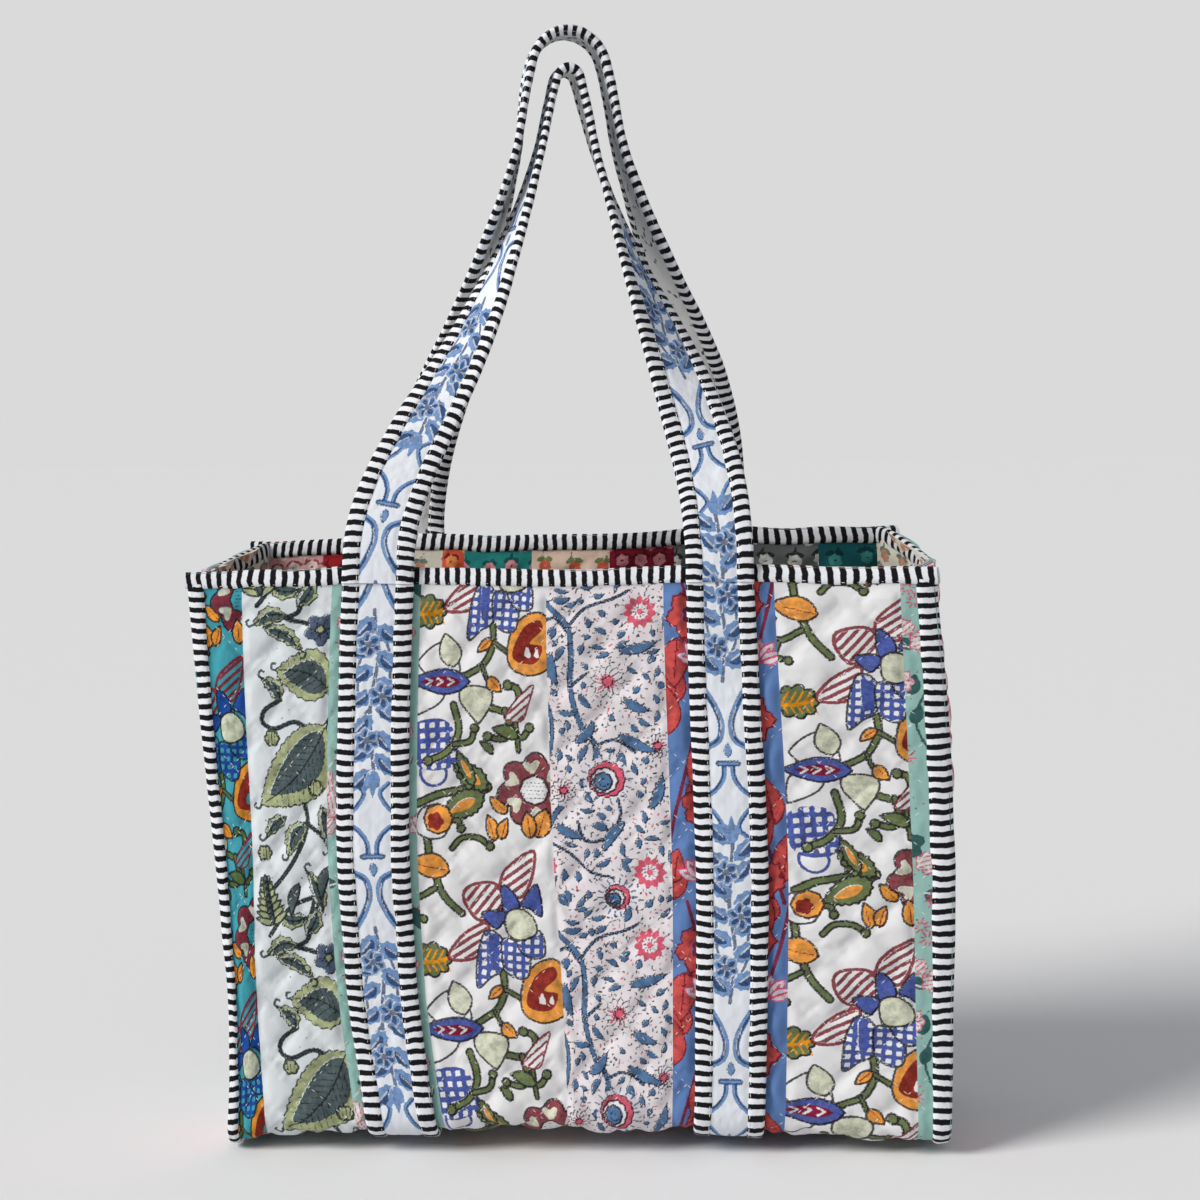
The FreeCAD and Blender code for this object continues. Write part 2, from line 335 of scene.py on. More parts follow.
def closed_tube(name, rings, attributes, flip=False):
    """A tube with end caps from rings of points, (rings, points in a ring, 3)."""
    count, around = rings.shape[:2]
    index = np.arange(count * around).reshape(count, around)
    wrapped = np.concatenate([index, index[:, :1]], 1)
    quads = np.stack([wrapped[:-1, :-1], wrapped[:-1, 1:], wrapped[1:, 1:], wrapped[1:, :-1]], -1)
    quads = quads.reshape(-1, 4)
    ends = [index[0][::-1], index[-1]]
    if flip:
        quads = quads[:, ::-1]
        ends = [end[::-1] for end in ends]
    full = {key: values.reshape((count * around,) + values.shape[2:]) for key, values in attributes.items()}
    return make_mesh(name, rings, quads, ends, full)


def thin_out(count, every):
    """Column numbers from 0 to count - 1, about every so many, both ends included."""
    return np.unique(np.round(np.linspace(0, count - 1, max(2, int(count / every) + 1))).astype(int))


# ---------------------------------------------------------------- block printing

FAR = 6.0
INK = 0.66
BLOCKS = range(-1, 5)


def line_distance(px, py, line):
    a = line[:-1]
    d = line[1:] - a
    size = np.maximum((d**2).sum(1), 1e-9)
    t = np.clip(((px[..., None] - a[:, 0]) * d[:, 0] + (py[..., None] - a[:, 1]) * d[:, 1]) / size, 0, 1)
    dx = px[..., None] - a[:, 0] - t * d[:, 0]
    dy = py[..., None] - a[:, 1] - t * d[:, 1]
    return np.sqrt((dx**2 + dy**2).min(-1))


def shape_distance(px, py, outline):
    """Distance to a closed outline, negative inside."""
    closed = np.vstack([outline, outline[:1]])
    a = closed[:-1]
    b = closed[1:]
    above_a = a[:, 1] > py[..., None]
    above_b = b[:, 1] > py[..., None]
    run = np.where(np.abs(b[:, 1] - a[:, 1]) < 1e-9, 1e-9, b[:, 1] - a[:, 1])
    cross = a[:, 0] + (py[..., None] - a[:, 1]) * (b[:, 0] - a[:, 0]) / run
    inside = (((above_a != above_b) & (px[..., None] < cross)).sum(-1) % 2) == 1
    return np.where(inside, -1.0, 1.0) * line_distance(px, py, closed)


class Canvas:
    """A piece of cloth to print on. Each dye is stored as the distance to the edge of its printed area."""

    def __init__(self, xs, vs, dyes):
        self.xs = xs
        self.vs = vs
        self.dyes = {dye: np.full((len(vs), len(xs)), FAR, np.float32) for dye in dyes}

    def window(self, points, margin=3.0):
        low = points.min(0) - margin
        high = points.max(0) + margin
        i = np.searchsorted(self.xs, (low[0], high[0]))
        j = np.searchsorted(self.vs, (low[1], high[1]))
        if i[0] == i[1] or j[0] == j[1]:
            return None
        gx, gv = np.meshgrid(self.xs[i[0]:i[1]], self.vs[j[0]:j[1]])
        return (slice(j[0], j[1]), slice(i[0], i[1])), gx, gv

    def clear(self, where, distance):
        for field in self.dyes.values():
            field[where] = np.maximum(field[where], -distance)

    def add(self, dye, where, distance):
        field = self.dyes[dye]
        field[where] = np.minimum(field[where], distance)

    def free(self, spot, reach):
        """True where nothing is printed within this reach."""
        i = int(np.searchsorted(self.xs, spot[0]))
        j = int(np.searchsorted(self.vs, spot[1]))
        if i >= len(self.xs) or j >= len(self.vs) or i == 0 or j == 0:
            return False
        return all(field[j, i] > reach for field in self.dyes.values())

    def fill(self, dye, outline, edge="ink", edge_width=INK, shift=0.4, over=True):
        """A filled shape. It hides what is below it and has an inked edge. dye None leaves it unprinted."""
        outline = np.asarray(outline, float)
        found = self.window(outline)
        if found is None:
            return
        where, gx, gv = found
        distance = shape_distance(gx, gv, outline)
        if over:
            self.clear(where, distance)
        if dye:
            self.add(dye, where, shape_distance(gx - shift, gv - 0.7 * shift, outline) if shift else distance)
        if edge:
            self.add(edge, where, np.abs(distance) - edge_width)

    def pattern(self, dye, outline, field, inset=0.8):
        """Prints a repeating field inside an outline. field gives a distance from cloth coordinates."""
        outline = np.asarray(outline, float)
        found = self.window(outline)
        if found is None:
            return
        where, gx, gv = found
        distance = shape_distance(gx, gv, outline) + inset
        self.add(dye, where, np.maximum(distance, field(gx, gv)))

    def line(self, dye, points, half_width, edge=None, over=False, smoothing=True, edge_width=INK):
        points = curve(points) if smoothing and len(points) > 2 else np.asarray(points, float)
        found = self.window(points, 3.0 + half_width)
        if found is None:
            return
        where, gx, gv = found
        distance = line_distance(gx, gv, points)
        if over:
            self.clear(where, distance - half_width - edge_width)
        self.add(dye, where, distance - half_width)
        if edge:
            self.add(edge, where, np.abs(distance - half_width) - edge_width)


def spline(p, steps):
    """Points on a Catmull-Rom spline, from the second point to the one before the last."""
    out = []
    for a, b, c, d in zip(p, p[1:], p[2:], p[3:]):
        for t in np.arange(steps) / steps:
            square = (2 * a - 5 * b + 4 * c - d) * t * t
            out.append(0.5 * (2 * b + (c - a) * t + square + (3 * b - a - 3 * c + d) * t**3))
    return out


def curve(points, steps=6):
    """A smooth line through the points."""
    p = np.asarray(points, float)
    return np.array(spline(np.vstack([2 * p[0] - p[1], p, 2 * p[-1] - p[-2]]), steps) + [p[-1]])


def loop(points, steps=5):
    """A smooth closed outline through the points."""
    p = np.asarray(points, float)
    return np.array(spline(np.vstack([p[-1:], p, p[:2]]), steps))


def leaf(base, tip, width, bend=0.0, fullness=0.8, steps=12):
    """Outline of a leaf or petal from its base to its tip."""
    base = np.asarray(base, float)
    tip = np.asarray(tip, float)
    along = tip - base
    side = np.array([-along[1], along[0]]) / max(np.hypot(*along), 1e-6)
    t = np.linspace(0, 1, steps)
    middle = base + t[:, None] * along + (np.sin(math.pi * t) * bend)[:, None] * side
    half = width / 2 * np.sin(math.pi * t**fullness) ** 0.85
    return np.vstack([middle + half[:, None] * side, (middle - half[:, None] * side)[1:-1][::-1]])


def rosette(centre, radius, lobes, depth=0.14, turn=0.0, steps=8, squash=1.0):
    angle = np.linspace(0, 2 * math.pi, lobes * steps, endpoint=False)
    reach = radius * (1 - depth + depth * np.abs(np.cos(lobes * (angle - turn) / 2)) * 2 - depth)
    return np.asarray(centre, float) + np.stack([reach * np.cos(angle), squash * reach * np.sin(angle)], -1)


def toothed(outline, depth, every):
    """An outline with small teeth."""
    closed = np.vstack([outline, outline[:1]])
    steps = np.hypot(*np.diff(closed, axis=0).T)
    total = steps.sum()
    count = max(6, 2 * int(total / every))
    marks = np.concatenate([[0], np.cumsum(steps)])
    place = np.linspace(0, total, count, endpoint=False)
    x = np.interp(place, marks, closed[:, 0])
    y = np.interp(place, marks, closed[:, 1])
    centre = outline.mean(0)
    out = np.stack([x, y], -1) - centre
    size = np.maximum(np.hypot(out[:, 0], out[:, 1]), 1e-6)
    grow = np.where(np.arange(count) % 2 == 0, depth, 0)
    return centre + out * (1 + grow / size)[:, None]


def curl(centre, radius, start, sweep, shrink=0.55, steps=12):
    """A spiral line that tightens."""
    t = np.linspace(0, 1, steps)
    angle = math.radians(start) + math.radians(sweep) * t
    reach = radius * (1 - shrink * t)
    return np.asarray(centre, float) + np.stack([reach * np.cos(angle), reach * np.sin(angle)], -1)


def bars(angle, pitch, width):
    """A field of parallel bars."""
    c = math.cos(math.radians(angle))
    s = math.sin(math.radians(angle))
    return lambda x, y: nearest_line(x * c + y * s, pitch) - width / 2


def check_cloth(pitch, width, slant=4):
    across = bars(slant, pitch, width)
    down = bars(90 + slant, pitch, width)
    return lambda x, y: np.minimum(across(x, y), down(x, y))


def dots(canvas, dye, rng, box, count, radius):
    """Scattered small printed marks. box is the lowest and highest place across, then along."""
    for _ in range(count):
        spot = np.array([rng.uniform(box[0], box[1]), rng.uniform(box[2], box[3])])
        away = ray(rng.uniform(0, math.pi))
        step = rng.uniform(0.3, 1.4) * radius
        canvas.line(dye, [spot, spot + step * away], radius * rng.uniform(0.5, 0.9))


class Block:
    """A printing block set down on the cloth. Places on it are measured from its origin."""

    def __init__(self, canvas, origin):
        self.canvas = canvas
        self.origin = np.asarray(origin, float)

    def at(self, place):
        return np.asarray(place, float) + self.origin

    def shifted(self, shift):
        return Block(self.canvas, self.at(shift))

    def leaf(self, dye, base, tip, width, bend=0.0, **ink):
        self.canvas.fill(dye, leaf(self.at(base), self.at(tip), width, bend), **ink)

    def blob(self, dye, outline, **ink):
        self.canvas.fill(dye, loop(self.at(outline)), **ink)

    def bloom(self, dye, centre, radius, lobes=1, depth=0.0, turn=0.0, squash=1.0, **ink):
        self.canvas.fill(dye, rosette(self.at(centre), radius, lobes, depth, turn, squash=squash), **ink)

    def stroke(self, dye, places, half_width, **ink):
        self.canvas.line(dye, self.at(places), half_width, **ink)

    def filled_with(self, dye, outline, field, inset=0.8):
        self.canvas.pattern(dye, loop(self.at(outline)), field, inset)


def blocks(canvas, across, first, repeat=BLOCK_REPEAT, slant=0.0):
    """The same block printed again and again down the cloth."""
    for k in BLOCKS:
        along = first + k * repeat
        yield Block(canvas, (across + slant * along, along))


# Olive vine: big flowers, scrolls and leaves. Places are from the middle of the big flower, y down.

VINE_STRIPED_PETALS = (
    ([(-18, -10), (-6, -14), (2, -11), (4, 3), (-10, 9), (-18, 0)], 40),
    ([(3, -12), (7, -22), (24, -33), (22, -16), (15, -5), (7, -10)], 55),
    ([(-30, 32), (-23, 20), (-9, 11), (-5, 14), (-12, 31)], 60),
)
VINE_BLUE_PETALS = (
    [(-9, 5), (0, 3), (9, 6), (4, 10), (-1, 14)],
    [(4, -12), (11, -8), (14, 0), (10, 7), (4, 3)],
    [(15, -1), (25, -13), (27, 6), (20, 2)],
)
VINE_CHECK_PETALS = (
    [(-6, 15), (2, 20), (2, 38), (-6, 44), (-14, 50), (-14, 37), (-11, 23)],
    [(2, 22), (9, 21), (18, 27), (17, 42), (12, 45), (6, 43), (2, 37)],
    [(11, 21), (25, 15), (27, 30), (17, 31)],
)
VINE_STEMS = (
    ([(-2, 40), (-1, 54), (-6, 66), (-16, 73), (-24, 76)], 1.8),
    ([(-1, 54), (8, 60)], 1.4),
    ([(-8, 68), (-5, 76)], 1.2),
    ([(-44, -49), (-42, -30), (-39, -17), (-34, -4), (-24, 8)], 2.0),
    ([(-40, -40), (-32, -48), (-24, -49), (-22, -44)], 1.6),
    ([(-43, -44), (-50, -50), (-54, -46)], 1.6),
    ([(-39, -8), (-50, -2), (-58, -4), (-60, -12), (-55, -15)], 1.7),
    ([(-52, 0), (-54, 8), (-47, 11)], 1.6),
    ([(-28, -32), (-22, -38), (-12, -38), (-5, -33)], 1.6),
    ([(-2, 94), (8, 96), (15, 90), (14, 82), (8, 80)], 2.0),
    ([(6, 95), (9, 108), (4, 113), (-5, 111)], 1.8),
    ([(9, 108), (16, 112), (21, 106)], 1.8),
    ([(-26, 92), (-23, 108), (-30, 120), (-42, 126)], 2.0),
    ([(-26, 116), (-16, 114), (-13, 106)], 1.7),
    ([(-49, 152), (-34, 146), (-6, 142)], 2.2),
    ([(12, 100), (14, 120)], 1.3),
)
VINE_BUDS = (
    ((-30, -18), (-55, -24), 15, 1), ((24, -38), (30, -56), 12, 0), ((20, -38), (18, -54), 9, 0),
    ((-2, -36), (-6, -52), 8, 1), ((2, -37), (6, -50), 7, -1), ((-2, 52), (-11, 60), 6, 0),
    ((-4, 75), (4, 84), 8, 1), ((6, 158), (-4, 148), 8, 0),
)
FLOWER_SHIFT = (-3.0, 3.0)
ROUND_FLOWER_SHIFT = (9.0, 15.0)
EYE_SHIFT = (-2.0, 5.0)
PATCH_SHIFT = (-2.0, 9.0)


def vine_flower(block):
    for outline, angle in VINE_STRIPED_PETALS:
        block.blob(None, outline, edge="maroon", edge_width=1.0)
        block.filled_with("maroon", outline, bars(angle, 4.4, 2.2), 1.4)
    for outline in VINE_CHECK_PETALS:
        block.blob(None, outline)
        block.filled_with("blue", outline, check_cloth(5.2, 2.3), 0.4)
    for outline in VINE_BLUE_PETALS:
        block.blob("blue", outline)
    block.blob("blue", [(-6, 18), (-1, 22), (-2, 36), (-6, 36)], edge=None)
    block.blob("leaf", [(5, 13), (6, 5), (14, 2), (22, 8), (23, 17), (14, 21), (7, 19)])


def vine_tulip(block):
    block.blob("orange", [(8, 62), (12, 45), (24, 36), (34, 40), (36, 66), (24, 74), (12, 71)])
    block.blob("maroon", [(11, 60), (18, 45), (28, 40), (30, 46), (22, 54), (30, 56), (26, 66), (15, 66)],
               edge=None, over=False)
    block.blob(None, [(19, 62), (21, 56), (23, 63)], edge=None)
    block.blob(None, [(25, 62), (27, 57), (28, 63)], edge=None)


def vine_eye(block):
    block.leaf(None, (-20, 66), (-48, 62), 24, 3)
    block.leaf("leaf", (-24, 64), (-30, 44), 14)
    block.leaf("leaf", (-18, 76), (-8, 98), 20, -5)
    block.leaf(None, (-30, 78), (-50, 94), 16, 4)
    block.leaf("blue", (-14, 73), (-52, 73), 15)
    block.leaf("maroon", (-20, 73), (-46, 73), 7, edge=None, over=False)
    for x in (-24, -31, -38):
        block.stroke("white", [(x - 4, 71), (x, 73), (x - 4, 75.5)], 0.6, smoothing=False)


def vine_round_flower(block):
    c = block.canvas
    centre = block.at((14, 129))
    c.fill("maroon", rosette(centre, 23, 7, 0.12, 0.3))
    for k in range(6):
        away = ray(math.radians(60 * k + 25))
        side = np.array([-away[1], away[0]])
        heart = ((10, 0), (16, 5), (18, 3), (16.5, 0), (18, -3), (16, -5))
        c.fill("leaf", loop([centre + away * far + side * wide for far, wide in heart]), edge=None)
    c.fill(None, rosette(centre, 9, 1, 0.0))
    for row in range(-3, 4):
        for k in range(-3, 4):
            spot = centre + np.array([k * 2.4 + (row % 2) * 1.2, row * 2.3])
            if np.hypot(*(spot - centre)) < 7:
                c.line("ink", [spot, spot + np.array([0.9, 0.1])], 0.36)


def vine_leaves(block):
    c = block.canvas
    for base, tip, width in (((-6, 143), (-26, 128), 13), ((-8, 146), (-34, 160), 15),
                             ((-14, 141), (-24, 120), 7)):
        c.fill("olive", toothed(leaf(block.at(base), block.at(tip), width), 1.2, 4))
        inner = np.array(base) * 0.8 + np.array(tip) * 0.2
        point = np.array(base) * 0.2 + np.array(tip) * 0.8
        block.leaf("orange", inner, point, width * 0.42, edge=None)
    block.bloom("olive", (-44, 36), 12.5, 9, 0.1, squash=0.85)
    for k in range(-2, 3):
        block.stroke("orange", [(-44 + 4 * k, 37), (-40 + 4 * k, 30)], 0.6)
        block.stroke("orange", [(-44 + 4 * k, 37), (-41 + 4 * k, 43)], 0.6)
    block.stroke("orange", [(-56, 38), (-40, 37), (-28, 30), (-20, 18)], 1.0)
    for base, tip, width, bend in VINE_BUDS:
        block.leaf("orange", base, tip, width, bend)
        block.stroke("maroon", [base, np.array(base) * 0.25 + np.array(tip) * 0.75], 0.4)
    block.blob(None, [(-50, -44), (-42, -38), (-32, -40), (-30, -50), (-34, -58), (-46, -56)])
    block.bloom("orange", (-36, -50), 9)
    block.bloom("maroon", (-38, -49), 5.5, 5, 0.12, edge=None, over=False)
    block.leaf("olive", (-56, -52), (-50, -62), 5)
    striped = [(6, 100), (14, 88), (24, 80), (20, 94), (16, 102)]
    block.blob(None, striped, edge="maroon", edge_width=0.6)
    block.filled_with("maroon", striped, bars(50, 3.6, 1.5))
    block.leaf("olive", (14, 112), (-2, 106), 8, 1)
    block.leaf("olive", (-2, 122), (-10, 114), 5, 1)


def vine_check_patch(block):
    patch = [(-48, 94), (-30, 92), (-22, 104), (-24, 120), (-44, 122), (-52, 108)]
    block.filled_with("blue", patch, check_cloth(6.2, 3.0, -3), 0.2)
    block.canvas.line("blue", curl(block.at((-36, 124)), 9, 200, -220, 0.2), 0.9)


def paint_olive_vine(c, across, first, slant=0.0, stretch=1.0):
    """across and first place the middle of a big flower. stretch lengthens the print down the cloth."""
    c.vs = c.vs / stretch
    for block in blocks(c, across, first / stretch, slant=slant):
        vine_check_patch(block.shifted(PATCH_SHIFT))
        for line, half in VINE_STEMS:
            block.stroke("olive", line, half, edge="ink", over=True)
            if half > 1.4 and line[-1][0] != -24:
                block.bloom("olive", line[-1], half + 1.0)
        vine_leaves(block)
        vine_round_flower(block.shifted(ROUND_FLOWER_SHIFT))
        vine_eye(block.shifted(EYE_SHIFT))
        vine_tulip(block)
        vine_flower(block.shifted(FLOWER_SHIFT))
    c.vs = c.vs * stretch


OLIVE_DYES = ("olive", "leaf", "orange", "maroon", "blue", "white", "ink")


# Blue vine: a spiky blue climbing stem, pink daisies and many small leaves. Places are on the
# cloth, and the repeat runs from 0 to 211.

BLUE_STEMS = (
    [(-24, 0), (-13, 12), (-3, 24), (-1, 40), (-2, 56), (-1, 70), (4, 88), (12, 100), (10, 114), (-2, 130),
     (-14, 144), (-20, 160), (-16, 180), (-20, 196), (-24, 211)],
    [(-3, 24), (8, 12), (26, 6), (34, 2)],
    [(-26, 26), (-12, 18), (-4, 26)],
    [(-20, 64), (-14, 84), (-16, 104), (-22, 116)],
    [(-2, 62), (8, 54), (14, 56)],
    [(12, 100), (24, 96), (36, 104)],
    [(8, 118), (20, 126), (26, 142), (18, 158), (4, 160), (0, 148)],
    [(-20, 160), (-6, 168), (6, 180), (20, 184)],
    [(-16, 180), (-28, 172), (-32, 160)],
)
BLUE_LEAF_TRIES = 1000
BLUE_TICK_TRIES = 2600
BLUE_DAISIES = ((41, 15, 10.5), (42, 180, 10.5), (-22, 176, 8.0))
BLUE_STARS = ((21, 59, 11.0), (-8, 128, 8.0), (50, 100, 8.0))
PEACOCKS = ((18, 121, 11.5), (22, 196, 8.0))
SPIKY_LEAVES = ((28, 40, 52, 34), (26, 92, 50, 104), (-14, 40, -10, 62), (0, 98, 12, 84), (44, 140, 52, 118),
                (-14, 150, 4, 158), (28, 148, 14, 168), (30, 70, 46, 78))


def blue_leaf(c, base, angle, length, width):
    c.fill("slate", leaf(base, base + ray(angle) * length, width, 0.08 * length), edge_width=0.38)


def spiky_leaf(c, base, tip, width):
    """A leaf with a fringe of short ticks."""
    outline = leaf(base, tip, width, 1.5)
    c.fill("slate", outline, edge_width=0.42)
    middle = outline.mean(0)
    for spot in outline[1::2]:
        away = (spot - middle) / max(np.hypot(*(spot - middle)), 1e-6)
        c.line("ink", [spot, spot + away * 2.2], 0.4)


def daisy(c, centre, radius, rng):
    turn = rng.uniform(0, 1)
    for k in range(11):
        away = ray(turn + 2 * math.pi * k / 11)
        c.fill("pink", leaf(centre + away * radius * 0.42, centre + away * radius, 4.4), edge=None)
        c.line("ink", [centre + away * radius * 0.95, centre + away * radius * 1.12], 0.38)
        c.line("ink", [centre + away * 2, centre + away * 4.4], 0.34)
    c.fill("pink", rosette(centre, radius * 0.2, 6, 0.1), edge=None)


def star(c, centre, radius, rng):
    """White petals with ink outlines, a pink heart and a ring of ticks."""
    for k in range(13):
        away = ray(2 * math.pi * k / 13)
        c.fill(None, leaf(centre + away * radius * 0.25, centre + away * radius, 4.2), edge_width=0.36)
        c.line("pink", [centre, centre + away * radius * rng.uniform(0.4, 0.72)], 0.6)
        c.line("ink", [centre + away * (radius + 1.2), centre + away * (radius + 3.0)], 0.36)


def peacock(c, centre, radius, rng):
    """An eye of pink and blue rings in a ring of ticks. It draws nothing from rng."""
    heart = centre + np.array([-2, 1.5])
    c.fill("pink", rosette(centre, radius, 12, 0.05), edge_width=0.5)
    c.fill(None, rosette(centre + np.array([-1.2, 0.8]), radius * 0.72, 9, 0.05))
    c.fill("slate", rosette(heart, radius * 0.5, 1, 0.0))
    c.line("ink", curl(heart, radius * 0.3, 20, 300, 0.6), 0.4)
    for k in range(18):
        away = ray(2 * math.pi * k / 18)
        c.line("slate", [centre + away * (radius + 1.0), centre + away * (radius + 4.2)], 0.55)


def blue_stems(block, rng):
    for number, stem in enumerate(BLUE_STEMS):
        line = curve(block.at(stem))
        half = 1.6 if number == 0 else 1.2 if number == 3 else 0.7
        c = block.canvas
        c.line("slate", line, half, edge="ink", over=True, smoothing=False, edge_width=0.42)
        marks = line[::4]
        for i, spot in enumerate(marks[1:-1]):
            forward = line[min(4 * i + 6, len(line) - 1)] - line[4 * i + 3]
            heading = math.atan2(forward[1], forward[0])
            side = 1 if i % 2 else -1
            out = ray(heading + side * 1.2)
            if number in (0, 3):
                c.line("ink", [spot + out * half, spot + out * (half + 2.4)], 0.34)
            if (i + number) % 3 == 0:
                stalk = spot + out * rng.uniform(4, 6)
                c.line("ink", [spot, stalk], 0.36)
                turned = heading + side * rng.uniform(0.5, 1.3)
                blue_leaf(c, stalk, turned, rng.uniform(7, 13), rng.uniform(3.6, 5.6))


def paint_blue_vine(c, across, first):
    for block in blocks(c, across, first):
        rng = np.random.default_rng(71)
        blue_stems(block, rng)
        for motif, gap, places in ((daisy, 1.5, BLUE_DAISIES), (star, 2.5, BLUE_STARS), (peacock, 3, PEACOCKS)):
            for x, y, radius in places:
                block.bloom(None, (x, y), radius + gap, 9, 0.03, edge=None)
                motif(c, block.at((x, y)), radius, rng)
        for x0, y0, x1, y1 in SPIKY_LEAVES:
            spiky_leaf(c, block.at((x0, y0)), block.at((x1, y1)), 6.5)
    for block in blocks(c, across, first):
        rng = np.random.default_rng(72)
        for _ in range(BLUE_LEAF_TRIES):
            spot = block.at([rng.uniform(-18, 58), rng.uniform(0, BLOCK_REPEAT)])
            angle = rng.uniform(0, 2 * math.pi)
            length = rng.uniform(4.5, 9.5)
            width = rng.uniform(2.8, 4.4)
            if all(c.free(spot + ray(angle) * length * t, 1.2) for t in (-0.3, 0.3, 0.7, 1.0)):
                c.line("ink", [spot - ray(angle) * 2.4, spot], 0.36)
                blue_leaf(c, spot, angle, length, width)
        for _ in range(BLUE_TICK_TRIES):
            spot = block.at([rng.uniform(-18, 58), rng.uniform(0, BLOCK_REPEAT)])
            away = ray(rng.uniform(0, 2 * math.pi)) * rng.uniform(0.8, 2.2)
            dye_name = "pink" if rng.uniform() < 0.2 else "ink"
            if c.free(spot, 1.0) and c.free(spot + away, 0.9):
                c.line(dye_name, [spot, spot + away], rng.uniform(0.36, 0.6))


BLUE_DYES = ("slate", "pink", "ink")


# Grey leaves on white

GREY_REPEAT = BLOCK_REPEAT - 3
GREY_LEAVES = (
    ((24, 56), (-10, 43), 31, 5), ((22, 79), (-23, 128), 40, -7), ((-4, 8), (-24, 14), 10, 3),
    ((-17, 16), (6, 31), 9, -3), ((-8, 62), (-20, 48), 9, 3), ((4, 2), (12, -14), 10, 2),
    ((8, 140), (-4, 160), 12, 3), ((20, 130), (24, 156), 11, -3),
    ((18, 196), (8, 170), 9, 3), ((6, 200), (-14, 196), 9, -3), ((-6, 136), (-20, 148), 8, 2),
)
GREY_STEMS = (
    [(8, -8), (4, 6), (-4, 10), (10, 14), (18, 18)],
    [(24, 58), (30, 66), (22, 79)],
    [(-8, 62), (-18, 68), (-20, 76), (-12, 80), (2, 76), (14, 84)],
    [(22, 79), (14, 104), (8, 124), (10, 140), (4, 156), (-6, 170), (-20, 184)],
    [(10, 140), (22, 150), (26, 166), (14, 186), (8, 203)],
    [(14, 186), (-6, 194), (-20, 210)],
)


def grey_leaf(c, base, tip, width, bend):
    along = tip - base
    size = np.hypot(*along)
    side = np.array([-along[1], along[0]]) / size
    c.fill("rim", toothed(leaf(base, tip, width, bend), 1.3, 5.5), edge_width=0.5)
    inner = leaf(base + along * 0.07, base + along * 0.86, width * 0.62, bend * 0.8)
    c.fill("grey", toothed(inner, 0.9, 4.0), edge=None)

    def rib(t):
        return base + along * t + side * math.sin(math.pi * t) * bend

    c.line("ink", [rib(t) for t in np.linspace(0.02, 0.95, 8)], 0.5)
    for t in np.arange(0.14, 0.85, 4.5 / size):
        reach = width * 0.36 * math.sin(math.pi * min(t + 0.1, 0.95))
        for sign in (-1, 1):
            c.line("ink", [rib(t), rib(t) + along / size * reach * 0.8 + side * sign * reach], 0.32)
    hook = [tip, tip + along / size * 3, tip + along / size * 4 + side * 3, tip + along / size * 2 + side * 4]
    c.line("grey", hook, 0.8)


def grey_flower(c, centre):
    for k in range(5):
        angle = 2 * math.pi * k / 5 + 0.3
        away = ray(angle)
        c.fill("slate", rosette(centre + away * 5.6, 4.9, 3, 0.1, angle), edge_width=0.4)
        c.line("ink", [centre, centre + away * 7], 0.32)
    c.fill("rim", rosette(centre, 2.6, 1, 0.0))


def feather_cone(c, base, tip, width):
    along = tip - base
    side = np.array([-along[1], along[0]]) / np.hypot(*along)
    for t in np.linspace(0.9, 0.1, 7):
        half = width / 2 * (1.15 - t)
        for sign in (-1, 1):
            c.fill("rim", leaf(base + along * t, base + along * (t + 0.2) + side * sign * half, 4.4))
        c.fill("grey", leaf(base + along * t, base + along * (t + 0.24), 3.6))


def paint_grey_leaf(c, across, first):
    for block in blocks(c, across, first, GREY_REPEAT, 0.01):
        rng = np.random.default_rng(83)
        for stem in GREY_STEMS:
            block.stroke("grey", stem, 0.9, edge="ink", over=True)
        x, y = block.origin
        dots(c, "grey", rng, (x - 30, x + 30, y, y + BLOCK_REPEAT), 26, 0.7)
        for base, tip, width, bend in GREY_LEAVES:
            grey_leaf(c, block.at(base), block.at(tip), width, bend)
        grey_flower(c, block.at((18, 18)))
        feather_cone(c, block.at((-17, 206)), block.at((-22, 176)), 22)
        for spot in ((-14, 86), (16, 118), (-22, 158)):
            block.bloom("rim", spot, 5.2, 6, 0.1)
            c.pattern("ink", rosette(block.at(spot), 4.4, 6, 0.1), bars(0, 2.2, 0.7), 0.3)
        for x, y in ((24, 168), (2, 178)):
            block.leaf("grey", (x, y), (x - 6, y + 20), 7, 2)


GREY_DYES = ("grey", "rim", "slate", "ink")


# Mint with pink sprigs, and blue with red flowers

MINT_REACH = 34
MINT_MOTIFS = 48


